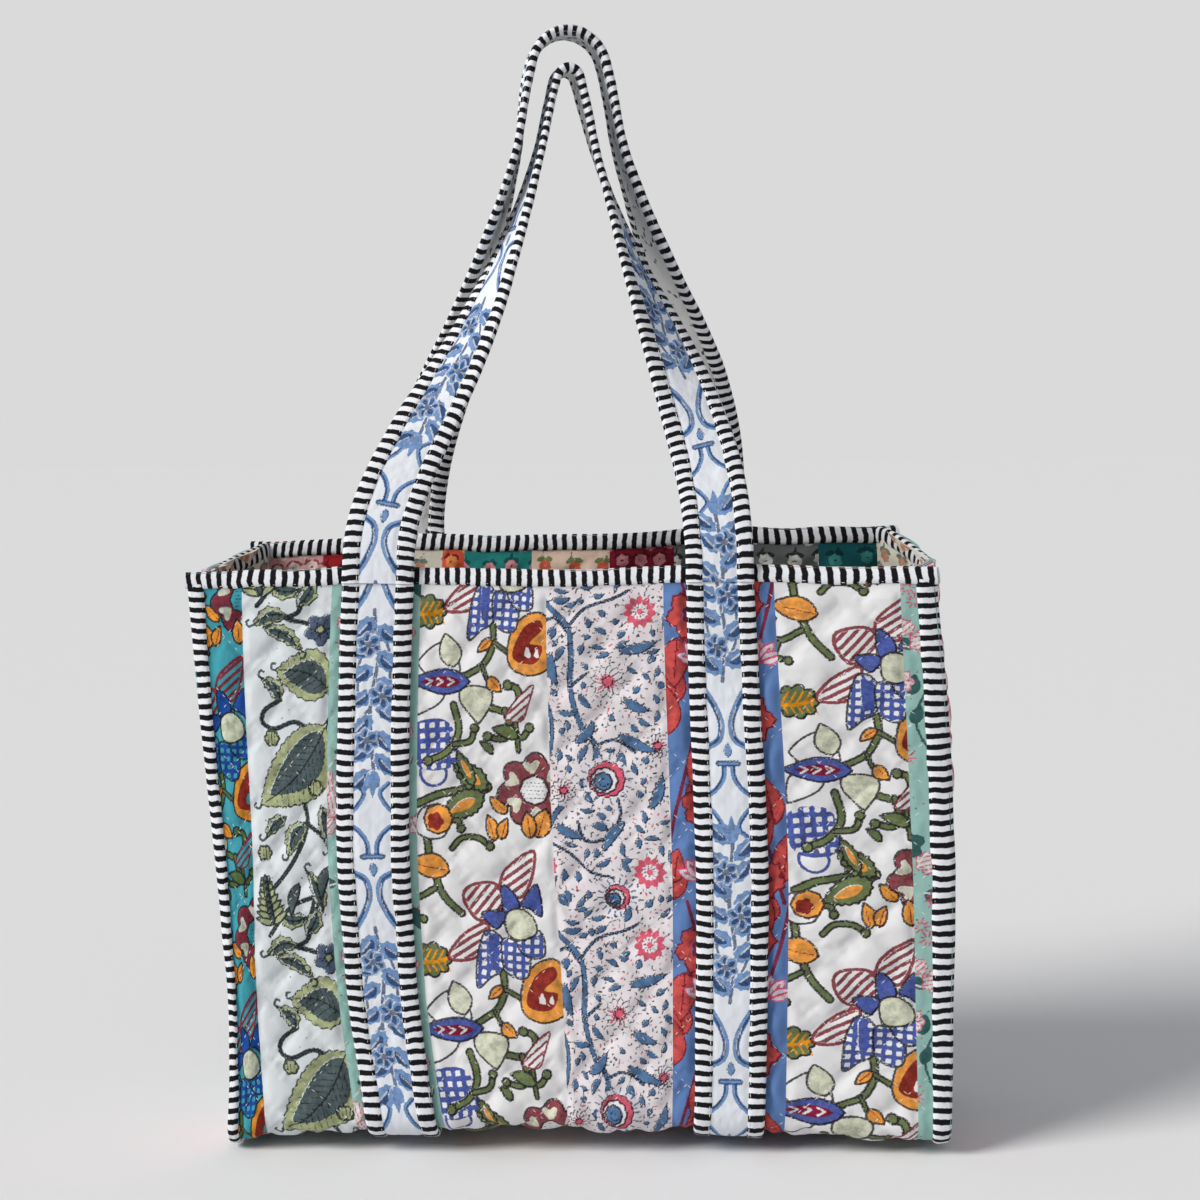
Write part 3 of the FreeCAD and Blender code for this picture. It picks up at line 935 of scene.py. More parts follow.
def paint_mint(c, across, first, seed):
    for k in BLOCKS:
        rng = np.random.default_rng(seed)
        v = first + k * BLOCK_REPEAT
        box = (across - MINT_REACH, across + MINT_REACH, v, v + BLOCK_REPEAT)
        for _ in range(MINT_MOTIFS):
            spot = np.array([across + rng.uniform(-MINT_REACH, MINT_REACH), v + rng.uniform(0, BLOCK_REPEAT)])
            kind = rng.integers(0, 4)
            if kind == 0:
                c.fill("dark", rosette(spot, rng.uniform(5, 10), 5, 0.16, rng.uniform(0, 1)), edge=None)
            elif kind == 1:
                c.fill("dark", leaf(spot, spot + rng.uniform(-16, 16, 2), rng.uniform(6, 10)), edge=None)
                c.line("ground_pale", [spot, spot + rng.uniform(-8, 8, 2)], 0.6)
            elif kind == 2:
                outline = rosette(spot, rng.uniform(5, 9), 7, 0.12)
                c.fill("ground_pale", outline, edge="pink", edge_width=0.4)
                c.pattern("pink", outline, bars(rng.uniform(0, 180), 2.6, 0.9), 1.0)
            else:
                for j in range(9):
                    away = ray(2 * math.pi * j / 9)
                    c.line("pink", [spot + away * 2, spot + away * rng.uniform(4, 6)], 0.5)
        dots(c, "pink", rng, box, 70, 0.7)
        dots(c, "dark", rng, box, 40, 0.6)
        for _ in range(3):
            x = across + rng.uniform(-24, 24)
            c.line("dark", [(x + rng.uniform(-9, 9), v + BLOCK_REPEAT * t) for t in np.linspace(0, 1, 7)], 0.7)


MINT_DYES = ("dark", "ground_pale", "pink")


def paint_blue_floral(c, across, first):
    for k in BLOCKS:
        rng = np.random.default_rng(97)
        v = first + k * BLOCK_REPEAT
        for stem in range(3):
            x = across - 26 + 26 * stem
            line = [(x + 12 * math.sin(5.0 * t + stem), v + BLOCK_REPEAT * t) for t in np.linspace(0, 1, 10)]
            c.line("maroon", line, 1.1, over=True)
        for _ in range(26):
            spot = np.array([across + rng.uniform(-38, 38), v + rng.uniform(0, BLOCK_REPEAT)])
            away = np.array([rng.uniform(-9, 9), rng.uniform(20, 34) * rng.choice((-1, 1))])
            outline = leaf(spot, spot + away, rng.uniform(12, 18), rng.uniform(-3, 3))
            c.fill("red", outline, edge="maroon", edge_width=0.5)
            c.line("maroon", [spot, spot + away * 0.8], 0.5)
            rise = sorted((spot[1], spot[1] + away[1] * 0.7))
            dots(c, "maroon", rng, (spot[0] - 3, spot[0] + 3, *rise), 16, 0.5)
        for x, y, radius in ((-18, 30, 15), (16, 96, 16), (-14, 150, 14), (22, 196, 12), (20, 24, 9)):
            centre = np.array([across + x, v + y])
            bloom = toothed(rosette(centre, radius, 6, 0.14, rng.uniform(0, 1)), 1.4, 5)
            c.fill("red", bloom, edge="maroon", edge_width=0.6)
            c.fill("maroon", rosette(centre, radius * 0.42, 5, 0.15), edge=None)
            dots(c, "pale", rng, (centre[0] - 4, centre[0] + 4, centre[1] - 4, centre[1] + 4), 7, 0.6)
        for x, y in ((-14, 60), (6, 122), (-18, 196), (26, 60)):
            for j in range(5):
                angle = math.radians(-90 + 34 * (j - 2))
                base = np.array([across + x, v + y])
                tip = base + 15 * ray(angle)
                petal = leaf(base, tip, 7.5)
                c.fill("pale", petal, edge="pink", edge_width=0.5)
                c.line("pink", [base, base * 0.3 + tip * 0.7], 0.7)


BLUE_FLORAL_DYES = ("red", "maroon", "pale", "pink")


# Straps: blue sprays, and mirrored ogee strokes with a small bar. "s" runs along the strap.

def blue_spray(c, s, turn, rng):
    """A bunch of broad serrated leaves and open flowers that fills the width.

    turn is 1, or -1 when it hangs down."""
    def at(place):
        return np.array([place[0], s + turn * place[1]])

    for stem, half in (([(-1, 52), (2, 20), (-2, -10), (1, -50)], 1.2), ([(2, 40), (9, 26), (10, 6)], 0.9),
                       ([(0, 30), (-9, 20), (-10, -2)], 0.9), ([(-2, -10), (-10, -20), (-9, -36)], 0.9)):
        c.line("deep", [at(p) for p in stem], half)
    for number, t in enumerate(range(-48, 52, 8)):
        side = 1 if number % 2 else -1
        base = at((1.5 * side, t + rng.uniform(-2, 2)))
        tip = base + np.array([side * rng.uniform(10, 13), -turn * rng.uniform(7, 15)])
        wide = rng.uniform(8, 10.5)
        c.fill("blue", toothed(leaf(base, tip, wide, rng.uniform(-1, 1)), 1.3, 4.4), edge=None)
        heart = leaf(base * 0.85 + tip * 0.15, base * 0.1 + tip * 0.9, wide * 0.5, side * wide * 0.18)
        c.fill("deep", heart, edge=None, over=False)
        c.line("ground", [base * 0.7 + tip * 0.3, base * 0.25 + tip * 0.75], 0.55)
    for place, radius in (((-4, -30), 8.5), ((5, -2), 9.5), ((-4, 30), 8.5)):
        centre = at(place)
        for k in range(6):
            angle = 2 * math.pi * k / 6 + 0.4
            away = ray(angle)
            petal = leaf(centre + away * 1.5, centre + away * radius, 7.4)
            c.fill("blue", petal, edge="ground", edge_width=0.4)
            c.fill("deep", leaf(centre + away * 2, centre + away * radius * 0.8, 3.4), edge=None, over=False)
        c.fill("deep", rosette(centre, 2.4, 5, 0.1), edge=None)
    for tip in ((-5, -62), (4, -60), (0, -66)):
        c.fill("blue", leaf(at((0, -48)), at(tip), 5), edge=None)


def ogee(c, s, turn):
    """Two strokes that bow in to a short bar, with a drop over it and strokes that spread below."""
    def at(place):
        return np.array([place[0], s + turn * place[1]])

    for sign in (-1, 1):
        bow = [(13, -46), (7, -36), (3.2, -25), (5, -15), (13, -10)]
        spread = [(2.6, 2), (3.4, 9), (8, 16), (15, 21)]
        lyre = [(15, 26), (9, 32), (5, 40), (10, 46)]
        for stroke, half in ((bow, 2.1), (spread, 1.6), (lyre, 1.5)):
            c.line("blue", [at((sign * x, y)) for x, y in stroke], half)
            c.line("deep", [at((sign * (x + 0.8), y)) for x, y in stroke], half * 0.4)
        c.line("ground", [at((sign * x, y)) for x, y in ((6.6, -35), (3.4, -25), (4.8, -17))], 0.45)
    c.line("blue", [at((-6, 0)), at((6, 0))], 1.4, edge="deep")
    c.fill("blue", leaf(at((0, -4)), at((0, -13)), 4.6), edge="deep", edge_width=0.4)


def paint_strap(c, first, length, turn):
    """first is where the middle of a spray falls."""
    for k in range(int(-first // SPRAY_REPEAT) - 1, int((length - first) // SPRAY_REPEAT) + 2):
        s = first + k * SPRAY_REPEAT
        blue_spray(c, s, turn, np.random.default_rng(61))
        ogee(c, s + OGEE_AFTER_SPRAY, turn)


STRAP_DYES = ("blue", "deep", "ground")


def paint_backing(c, length):
    rng = np.random.default_rng(67)
    for s in np.arange(6, length, 15.0):
        for x in (-13, 0, 13):
            spot = np.array([x + rng.uniform(-4, 4), s + rng.uniform(-5, 5)])
            away = rng.uniform(-6, 6, 2)
            c.line("ink", [spot, spot + away], 0.5)
            c.fill("ink", leaf(spot + away * 0.5, spot + away * 0.5 + rng.uniform(-5, 5, 2), 2.6), edge=None)
            c.fill("ink", leaf(spot + away, spot + away * 1.7, 2.8), edge=None)


BACKING_DYES = ("ink",)


# Linings and gussets: small sprigs in two dyes

def paint_sprigs(c, seed, size=17.0, petals=6, reach=5.0):
    rng = np.random.default_rng(seed)
    row = 0
    for v in np.arange(c.vs[0] - size, c.vs[-1] + size, size * 0.82):
        row += 1
        for x in np.arange(c.xs[0] - size, c.xs[-1] + size, size):
            spot = np.array([x + (row % 2) * size / 2, v]) + rng.uniform(-1.5, 1.5, 2)
            c.line("leaves", [spot, spot + np.array([rng.uniform(-5, 5), size * 0.55])], 0.7)
            for side in (-1, 1):
                base = spot + np.array([0, size * 0.3])
                c.fill("leaves", leaf(base, base + np.array([side * 6.5, -2.5]), 3.8), edge=None)
            for k in range(petals):
                angle = 2 * math.pi * k / petals + row
                away = ray(angle)
                c.fill("petals", leaf(spot + away * 0.8, spot + away * reach, 4.0), edge=None, over=False)
            c.fill("leaves", rosette(spot, 1.2, 1, 0.0), edge=None)


SPRIG_DYES = ("leaves", "petals")


# ---------------------------------------------------------------- materials

STRIPE_PITCH = 6.8
STRIPE_BLACK = 0.5
STRIPE_SOFT = 0.03
DYE_DEPTH = 0.55
# How dark the painted shade mottling makes a print's ground
PAINTED_SHADE_LEVEL = 0.86
BLEED = 0.2
FADE = 0.05
FADES = {"strap_print": 0.12}
SPECULAR = 0.12


def dye(red, green, blue):
    """A linear colour from display values of 0 to 255."""
    out = []
    for value in (red, green, blue):
        value = value / 255
        out.append(value / 12.92 if value <= 0.04045 else ((value + 0.055) / 1.055) ** 2.4)
    return tuple(out) + (1.0,)


class Shader:
    """Builds a node tree with short calls."""

    def __init__(self, name, roughness, sheen):
        self.material = bpy.data.materials.new(name)
        self.material.use_nodes = True
        self.tree = self.material.node_tree
        self.surface = self.tree.nodes["Principled BSDF"]
        self.surface.inputs["Roughness"].default_value = roughness
        self.surface.inputs["Sheen Weight"].default_value = sheen
        self.surface.inputs["Specular IOR Level"].default_value = SPECULAR

    def node(self, kind, inputs=None, **settings):
        made = self.tree.nodes.new(kind)
        for key, value in settings.items():
            setattr(made, key, value)
        for key, value in (inputs or {}).items():
            if isinstance(value, bpy.types.NodeSocket):
                self.tree.links.new(value, made.inputs[key])
            else:
                made.inputs[key].default_value = value
        return made

    def attribute(self, name, vector=False):
        made = self.node("ShaderNodeAttribute", attribute_name=name, attribute_type="GEOMETRY")
        return made.outputs["Vector" if vector else "Fac"]

    def math(self, operation, *values):
        return self.node("ShaderNodeMath", dict(enumerate(values)), operation=operation).outputs[0]

    def ramp(self, value, low, high, start=0.0, end=1.0, kind="SMOOTHSTEP"):
        inputs = {"Value": value, "From Min": low, "From Max": high, "To Min": start, "To Max": end}
        return self.node("ShaderNodeMapRange", inputs, interpolation_type=kind).outputs["Result"]

    def noise(self, vector, scale, detail=2.0, rough=0.5):
        inputs = {"Vector": vector, "Scale": scale, "Detail": detail, "Roughness": rough}
        return self.node("ShaderNodeTexNoise", inputs).outputs["Fac"]

    def stretch(self, vector, scale):
        return self.node("ShaderNodeVectorMath", {0: vector, 1: scale}, operation="MULTIPLY").outputs[0]

    def mix(self, amount, first, second, blend="MIX"):
        made = self.node("ShaderNodeMix", data_type="RGBA", blend_type=blend)
        for socket, value in ((made.inputs[0], amount), (made.inputs[6], first), (made.inputs[7], second)):
            if isinstance(value, bpy.types.NodeSocket):
                self.tree.links.new(value, socket)
            else:
                socket.default_value = value
        return made.outputs[2]

    def finish(self, colour, height, strength, distance):
        self.tree.links.new(colour, self.surface.inputs["Base Color"])
        bump = self.node("ShaderNodeBump", {"Height": height, "Strength": strength, "Distance": distance})
        self.tree.links.new(bump.outputs["Normal"], self.surface.inputs["Normal"])
        return self.material


def weave_height(shader, cloth, thread=0.55):
    """Plain weave with uneven threads, as a height of about 0 to 1."""
    split = shader.node("ShaderNodeSeparateXYZ", {"Vector": cloth})
    drift = shader.math("MULTIPLY", shader.noise(cloth, 0.35, 1.0), 1.2)
    turns = math.pi / thread
    warp = shader.math("SINE", shader.math("MULTIPLY", shader.math("ADD", split.outputs[0], drift), turns))
    weft = shader.math("SINE", shader.math("MULTIPLY", shader.math("ADD", split.outputs[1], drift), turns))
    both = shader.math("MULTIPLY", warp, weft)
    slub_across = shader.noise(shader.stretch(cloth, (0.25, 3.0, 1.0)), 1.0, 2.0)
    slub_down = shader.noise(shader.stretch(cloth, (3.0, 0.25, 1.0)), 1.0, 2.0)
    slubs = shader.math("ADD", slub_across, slub_down)
    crumple = shader.noise(cloth, 0.22, 4.0, 0.55)
    height = shader.math("ADD", shader.math("MULTIPLY", both, 0.18), shader.math("MULTIPLY", slubs, 0.45))
    return shader.math("ADD", height, shader.math("MULTIPLY", crumple, 1.5))


def printed_cloth(name, ground, inks, fade):
    """Cotton printed with several dyes.

    inks gives each attribute's colour, from the first printed to the last."""
    shader = Shader(name, 0.86, 0.04)
    cloth = shader.attribute("cloth", True)
    # Painted shade: soft grey mottling of the ground in patches about 20 mm across, standing for the shading of
    # wrinkles
    shade_mottle = shader.noise(cloth, 0.05, 3.0)
    ground = dye(*ground)
    shaded_ground = tuple(PAINTED_SHADE_LEVEL * v for v in ground[:3]) + (1,)
    colour = shader.mix(shader.ramp(shade_mottle, 0.35, 0.75, 0.0, 0.35), ground, shaded_ground)
    rough_edge = shader.ramp(shader.noise(cloth, 0.9, 2.0), 0.3, 0.7, -0.28, 0.28, "LINEAR")
    patchy = shader.noise(cloth, 0.42, 4.0, 0.7)
    speckle = shader.noise(cloth, 2.6, 2.0, 0.6)
    washes = shader.noise(cloth, 0.16, 4.0, 0.65)
    for key, value in inks.items():
        distance = shader.math("ADD", shader.attribute(key), rough_edge)
        printed = shader.ramp(distance, -BLEED, BLEED, 1.0, 0.0)
        cover = shader.ramp(patchy, 0.30, 0.72, 1.0, 1.0 - 2.2 * fade, "LINEAR")
        cover = shader.math("MULTIPLY", cover, shader.ramp(speckle, 0.25, 0.7, 1.0, 1.0 - fade, "LINEAR"))
        value = dye(*value)
        deep = tuple(v * DYE_DEPTH for v in value[:3]) + (1.0,)
        tone = shader.mix(shader.ramp(washes, 0.38, 0.68), value, deep)
        colour = shader.mix(shader.math("MULTIPLY", printed, cover), colour, tone)
    return shader.finish(colour, weave_height(shader, cloth), 0.7, 0.0005)


def striped_tape(name):
    """Cotton tape with woven black and white stripes across it."""
    shader = Shader(name, 0.8, 0.03)
    cloth = shader.attribute("cloth", True)
    split = shader.node("ShaderNodeSeparateXYZ", {"Vector": cloth})
    slow = shader.noise(shader.stretch(cloth, (0.10, 0.02, 1.0)), 1.0, 2.0)
    wander = shader.ramp(slow, 0.2, 0.8, -1.1, 1.1, "LINEAR")
    fray = shader.ramp(shader.noise(cloth, 1.3, 3.0), 0.25, 0.75, -0.22, 0.22, "LINEAR")
    along = shader.math("ADD", shader.math("ADD", split.outputs[1], wander), fray)
    along = shader.math("ADD", along, shader.math("MULTIPLY", split.outputs[0], 0.05))
    phase = shader.math("FRACT", shader.math("DIVIDE", along, STRIPE_PITCH))
    centred = shader.math("ABSOLUTE", shader.math("SUBTRACT", phase, 0.5))
    black = shader.ramp(centred, STRIPE_BLACK / 2 - STRIPE_SOFT, STRIPE_BLACK / 2 + STRIPE_SOFT, 1.0, 0.0)
    white = shader.mix(shader.noise(cloth, 0.12, 3.0), dye(214, 216, 222), dye(240, 241, 243))
    dark = shader.mix(shader.noise(cloth, 0.8, 3.0), dye(8, 8, 11), dye(24, 23, 28))
    colour = shader.mix(black, white, dark)
    return shader.finish(colour, weave_height(shader, cloth), 0.6, 0.0004)


def plain_fibre(name, first, second, scale, roughness):
    shader = Shader(name, roughness, 0.2)
    cloth = shader.attribute("cloth", True)
    fuzz = shader.noise(cloth, scale, 5.0, 0.7)
    return shader.finish(shader.mix(fuzz, dye(*first), dye(*second)), fuzz, 0.6, 0.0006)


WHITE_COTTON = (224, 223, 224)
OLIVE_INKS = {"olive": (86, 106, 34), "leaf": (214, 216, 190), "orange": (240, 152, 8), "blue": (24, 62, 156),
              "maroon": (132, 8, 36), "white": WHITE_COTTON, "ink": (30, 24, 30)}
BLUE_INKS = {"slate": (46, 102, 150), "pink": (222, 72, 104), "ink": (26, 26, 44)}
GREY_INKS = {"rim": (172, 180, 126), "grey": (46, 68, 70), "slate": (54, 74, 108), "ink": (26, 36, 36)}
MINT_INKS = {"dark": (38, 84, 86), "ground_pale": (226, 224, 222), "pink": (214, 82, 116)}
FLORAL_INKS = {"red": (206, 74, 56), "maroon": (124, 22, 38), "pale": (236, 220, 226), "pink": (222, 66, 112)}
STRAP_INKS = {"blue": (62, 124, 188), "deep": (26, 62, 112), "ground": WHITE_COTTON}
# Ground colour and inks of each print, from the first printed to the last
PRINTS = {
    "teal_floral_print": ((64, 152, 166), OLIVE_INKS),
    "grey_leaf_print": ((214, 219, 222), GREY_INKS),
    "mint_print": ((146, 186, 178), MINT_INKS),
    "olive_vine_print": (WHITE_COTTON, OLIVE_INKS),
    "blue_vine_print": ((224, 217, 220), BLUE_INKS),
    "blue_floral_print": ((92, 124, 176), FLORAL_INKS),
    "pink_sprig_print": ((240, 224, 228), {"petals": (226, 66, 92), "leaves": (232, 120, 142)}),
    "strap_print": ((226, 230, 236), STRAP_INKS),
    "strap_backing": ((216, 217, 216), {"ink": (52, 54, 56)}),
}
# Ground, leaf and petal colours of each lining, from left to right
LININGS = {
    "blush_lining": ((206, 160, 158), (150, 60, 72), (232, 214, 206)),
    "red_lining": ((150, 28, 36), (92, 16, 24), (206, 110, 92)),
    "cream_lining": ((228, 222, 204), (96, 128, 116), (214, 150, 118)),
    "coral_lining": ((206, 86, 62), (112, 26, 32), (238, 150, 84)),
    "teal_lining": ((38, 128, 124), (20, 84, 86), (232, 150, 160)),
    "garden_lining": ((222, 196, 176), (92, 124, 66), (222, 92, 62)),
    "maroon_lining": ((116, 20, 40), (72, 12, 26), (196, 128, 132)),
    "grey_floral_lining": ((96, 100, 100), (34, 36, 38), (214, 214, 208)),
    "dark_teal_lining": ((20, 86, 90), (12, 54, 60), (64, 140, 134)),
}


def make_materials():
    made = {name: printed_cloth(name, ground, inks, FADES.get(name, FADE))
            for name, (ground, inks) in PRINTS.items()}
    for name, (ground, leaves, petals) in LININGS.items():
        made[name] = printed_cloth(name, ground, {"leaves": leaves, "petals": petals}, FADE)
    made["striped_binding"] = striped_tape("striped_binding")
    made["wadding"] = plain_fibre("wadding", (226, 224, 216), (240, 239, 234), 0.6, 0.95)
    made["stitching_thread"] = plain_fibre("stitching_thread", (222, 220, 214), (240, 238, 232), 2.0, 0.7)
    return made


# ---------------------------------------------------------------- putting pieces on the frame

# Each handle's side of the bag, and the height where it starts to bend. That is its foot,
# which hangs higher at the back.
BENDS = {"front_handle": (-1, SEAM_TOP - 1), "rear_handle": (1, SEAM_TOP + REAR_LIFT + 3)}


def dress(thing, slot, nodes, body="bag"):
    """Gives a piece its material and hides the CAD nodes it stands for. A piece of the bag is attached to the
    bag's body; a handle's piece is only baked into place.
    """
    thing.data.materials.append(MATERIALS[slot])
    if nodes:
        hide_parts(*nodes)
    if body == "bag":
        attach(thing, "bag")
    else:
        side, bend_start = BENDS[body]
        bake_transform(thing)
    return thing


def on_cloth(across, along, dyes=None):
    """A piece's attributes: its place on the flat cloth, and the distances to its printed shapes."""
    return {**(dyes or {}), "cloth": np.stack([across, along, 0 * across], -1)}


def printed(columns, rows, dyes, paint):
    canvas = Canvas(columns, rows, dyes)
    paint(canvas)
    return canvas.dyes


# ---------------------------------------------------------------- body sheet

OUTER_STRIPS = (
    ("teal_floral_strip", "teal_floral_print", OLIVE_DYES, lambda c: paint_olive_vine(c, -215.0, 84.0)),
    ("grey_leaf_strip", "grey_leaf_print", GREY_DYES, lambda c: paint_grey_leaf(c, -162.0, 20.0)),
    ("left_mint_strip", "mint_print", MINT_DYES, lambda c: paint_mint(c, -110.0, 0.0, 41)),
    ("left_olive_vine_strip", "olive_vine_print", OLIVE_DYES,
     lambda c: paint_olive_vine(c, -33.0, -11.0, stretch=1.05)),
    ("blue_vine_strip", "blue_vine_print", BLUE_DYES, lambda c: paint_blue_vine(c, 16.0, 12.0)),
    ("blue_floral_strip", "blue_floral_print", BLUE_FLORAL_DYES, lambda c: paint_blue_floral(c, 107.0, 0.0)),
    ("right_olive_vine_strip", "olive_vine_print", OLIVE_DYES,
     lambda c: paint_olive_vine(c, 197.0, 48.0, -0.031, 1.015)),
    ("right_mint_strip", "mint_print", MINT_DYES, lambda c: paint_mint(c, 218.0, 60.0, 43)),
)


def spaced(low, high, pitch):
    return np.linspace(low, high, max(2, int(round((high - low) / pitch)) + 1))


def sheet_rows():
    """Fine rows on the front, which shows most, and coarser ones below it."""
    front = spaced(0.0, WALL + CORNER, FINE)
    rest = spaced(WALL + CORNER, U_LENGTH, COARSE)
    return np.concatenate([front, rest[1:]])


def make_outer_strips():
    limits = (-SHEET_EDGE,) + OUTER_SEAMS + (SHEET_EDGE,)
    rows = sheet_rows()
    for (node, slot, dyes, paint), low, high in zip(OUTER_STRIPS, limits, limits[1:]):
        columns = spaced(low, high, FINE)
        x, u = np.meshgrid(columns, rows)
        outer = body_points(x, u, quilt(x, u, (low, high)))
        picks = thin_out(len(columns), 9)
        inner = body_points(x[:, picks], u[:, picks], -CLOTH)
        attributes = on_cloth(x, u, printed(columns, rows, dyes, paint))
        piece = closed_sheet(node + "_cloth", outer, inner, picks, attributes, flip=True)
        dress(piece, slot, [node])


def make_wadding():
    columns = spaced(-SHEET_EDGE, SHEET_EDGE, 9.0)
    x, u = np.meshgrid(columns, spaced(0, U_LENGTH, 5.0))
    outer = body_points(x, u, -CLOTH)
    inner = body_points(x, u, -CLOTH - WADDING)
    picks = np.arange(len(columns))
    piece = closed_sheet("body_wadding_fibre", outer, inner, picks, on_cloth(x, u), flip=True)
    dress(piece, "wadding", ["body_wadding"])


def make_linings():
    limits = (-SHEET_EDGE,) + LINING_SEAMS + (SHEET_EDGE,)
    rows = spaced(0, U_LENGTH, 2.0)
    for number, (node, low, high) in enumerate(zip(LININGS, limits, limits[1:])):
        columns = spaced(low, high, 2.0)
        sprig_size = 14.0 + 3 * (number % 3)
        dyes = printed(columns, rows, SPRIG_DYES, lambda c: paint_sprigs(c, 300 + number, sprig_size))
        x, u = np.meshgrid(columns, rows)
        inner = body_points(x, u, -SHEET - LINING_PUFF * quilt(x, u, (low, high)))
        picks = thin_out(len(columns), 5)
        outer = body_points(x[:, picks], u[:, picks], -CLOTH - WADDING)
        piece = closed_sheet(node + "_cloth", inner, outer, picks, on_cloth(x, u, dyes))
        dress(piece, node, [node])


# ---------------------------------------------------------------- gussets

GUSSET_HALF = 70.0


def gusset_half_width(z):
    radius = BASE_RADIUS - SHEET
    centre = BASE_Z + BASE_RADIUS
    drop = np.clip(centre - z, 0, radius)
    return FRONT_Y - BASE_RADIUS + np.sqrt(np.maximum(radius**2 - drop**2, 0))


def gusset_points(side, t, z, depth):
    """t is -1 at the front and 1 at the rear. depth is measured inward from the outer face."""
    y = t * gusset_half_width(z)
    return hang(np.stack([side * (GUSSET_FACE - depth), y, z], -1))


def gusset_sheet(name, side, ends, outer_depth, inner_depth, pitch, puff, dyes, paint, out=True):
    """A sheet of a gusset between two depths, from ends[0] to ends[1] across it.

    out says that its fine face is its outer one."""
    rows = spaced(BASE_Z + SHEET, SHEET_TOP, pitch)
    columns = np.linspace(*ends, max(3, int(GUSSET_HALF * (ends[1] - ends[0]) / pitch)))
    t, z = np.meshgrid(columns, rows)
    along = t * GUSSET_HALF
    cover = quilt(along + 20, z, (20.0,)) * smooth((1 - np.abs(t)) / 0.1) * puff
    picks = thin_out(len(columns), 4)
    fine_depth, back_depth = (outer_depth - cover, inner_depth) if out else (inner_depth + cover, outer_depth)
    fine = gusset_points(side, t, z, fine_depth)
    back = gusset_points(side, t[:, picks], z[:, picks], np.full_like(z[:, picks], back_depth))
    attributes = on_cloth(along, z, printed(columns * GUSSET_HALF, rows, dyes, paint))
    return closed_sheet(name, fine, back, picks, attributes, flip=(side < 0) == out)


def make_gussets():
    for side, word in ((-1, "left"), (1, "right")):
        wadding_name = word + "_gusset_wadding_fibre"
        piece = gusset_sheet(wadding_name, side, (-1, 1), CLOTH, CLOTH + WADDING, 8.0, 0.0, (), lambda c: None)
        dress(piece, "wadding", [word + "_gusset_wadding"])
        for node, ends, slot, dyes, paint in (
                ("_gusset_front_strip", (-1, 0), "pink_sprig_print", SPRIG_DYES,
                 lambda c: paint_sprigs(c, 401, 15.0)),
                ("_gusset_rear_strip", (0, 1), "mint_print", MINT_DYES,
                 lambda c: paint_mint(c, 35.0, 0.0, 45))):
            piece = gusset_sheet(word + node + "_cloth", side, ends, 0.0, CLOTH, 1.6, 0.8, dyes, paint)
            dress(piece, slot, [word + node])
        piece = gusset_sheet(word + "_gusset_lining_cloth", side, (-1, 1), CLOTH + WADDING, SHEET, 2.0, 0.8,
                             SPRIG_DYES, lambda c: paint_sprigs(c, 409, 16.0), out=False)
        dress(piece, "cream_lining", [word + "_gusset_lining"])


# ---------------------------------------------------------------- striped tape

TAPE_PITCH = 1.7


def tape_section(cover, over, under, bulge, thickness=0.85, steps=9):
    """Cross-section of tape folded round an edge, as (inward, outward) points of its outer and inner lines.

    over is the height of its outer side and under that of its inner side. The outer surface comes first."""
    middle = (over + under) / 2
    radius = (over - under) / 2
    t = np.linspace(0, 1, steps)

    def side(k):
        """How far in a place on a side is, and how far it stands out."""
        return cover - k * (cover - radius), bulge * math.sin(math.pi * k**0.75) ** 0.8 - 0.6 * (1 - k) ** 6

    outer = [(side(k)[0], over + side(k)[1]) for k in t]
    for angle in np.radians(np.linspace(90, 270, 9)[1:-1]):
        outer.append((radius + radius * math.cos(angle), middle + radius * math.sin(angle)))
    outer = np.array(outer + [(side(k)[0], under - side(k)[1]) for k in t[::-1]])
    tangent = np.gradient(outer, axis=0)
    tangent /= np.maximum(np.hypot(*tangent.T), 1e-6)[:, None]
    inward = np.stack([-tangent[:, 1], tangent[:, 0]], -1)
    return outer, outer + inward * thickness


def make_tape(name, place, run, section, slot_nodes, body, seed, flip=False):
    """Tape along a path. place(run, inward, outward) gives points on the hanging bag."""
    outer, inner = section
    ring = np.concatenate([outer, inner[::-1]])
    along = np.concatenate([[0], np.cumsum(np.hypot(*np.diff(outer, axis=0).T))])
    across = np.concatenate([along, along[::-1]])
    r, w = np.meshgrid(run, ring[:, 0], indexing="ij")
    n = np.broadcast_to(ring[:, 1], r.shape).copy()
    a = np.broadcast_to(across, r.shape)
    pucker = 0.22 * noise(r, a, 3.4, seed) + 0.22 * noise(r, a * 0.5, 8, seed + 1)
    middle = (outer[:, 1].max() + outer[:, 1].min()) / 2
    half = max(outer[:, 1].max() - middle, 0.1)
    n = n + pucker * (n - middle) / half
    w = w + 0.45 * noise(r, 0 * r, 11, seed + 2) * smooth(w / TAPE_COVER) + 0.25 * noise(r, 0 * r, 23, seed + 3)
    rings = place(r, w, n)
    piece = closed_tube(name, rings, on_cloth(a, r), flip=flip)
    dress(piece, "striped_binding", slot_nodes, body)
    return piece


def make_body_tape(name, place, run, bulge, seed, flip):
    """Tape over the edge of the quilted sheet, with its line of stitches."""
    section = tape_section(TAPE_COVER, 1.0, -SHEET - 1.0, bulge)
    make_tape(name + "_tape", place, run, section, [name], "bag", seed, flip)
    add_stitches("bag", place, run, TAPE_COVER - 1.4, 1.3)


def make_edge_bindings():
    run = spaced(TAPE_COVER - 4, U_LENGTH - TAPE_COVER + 4, TAPE_PITCH)
    for side, word in ((-1, "left"), (1, "right")):
        def place(r, w, n, side=side):
            return body_points(side * (EDGE - w), r, n)
        make_body_tape(word + "_edge_binding", place, run, 0.9, 500 + 10 * side, side > 0)


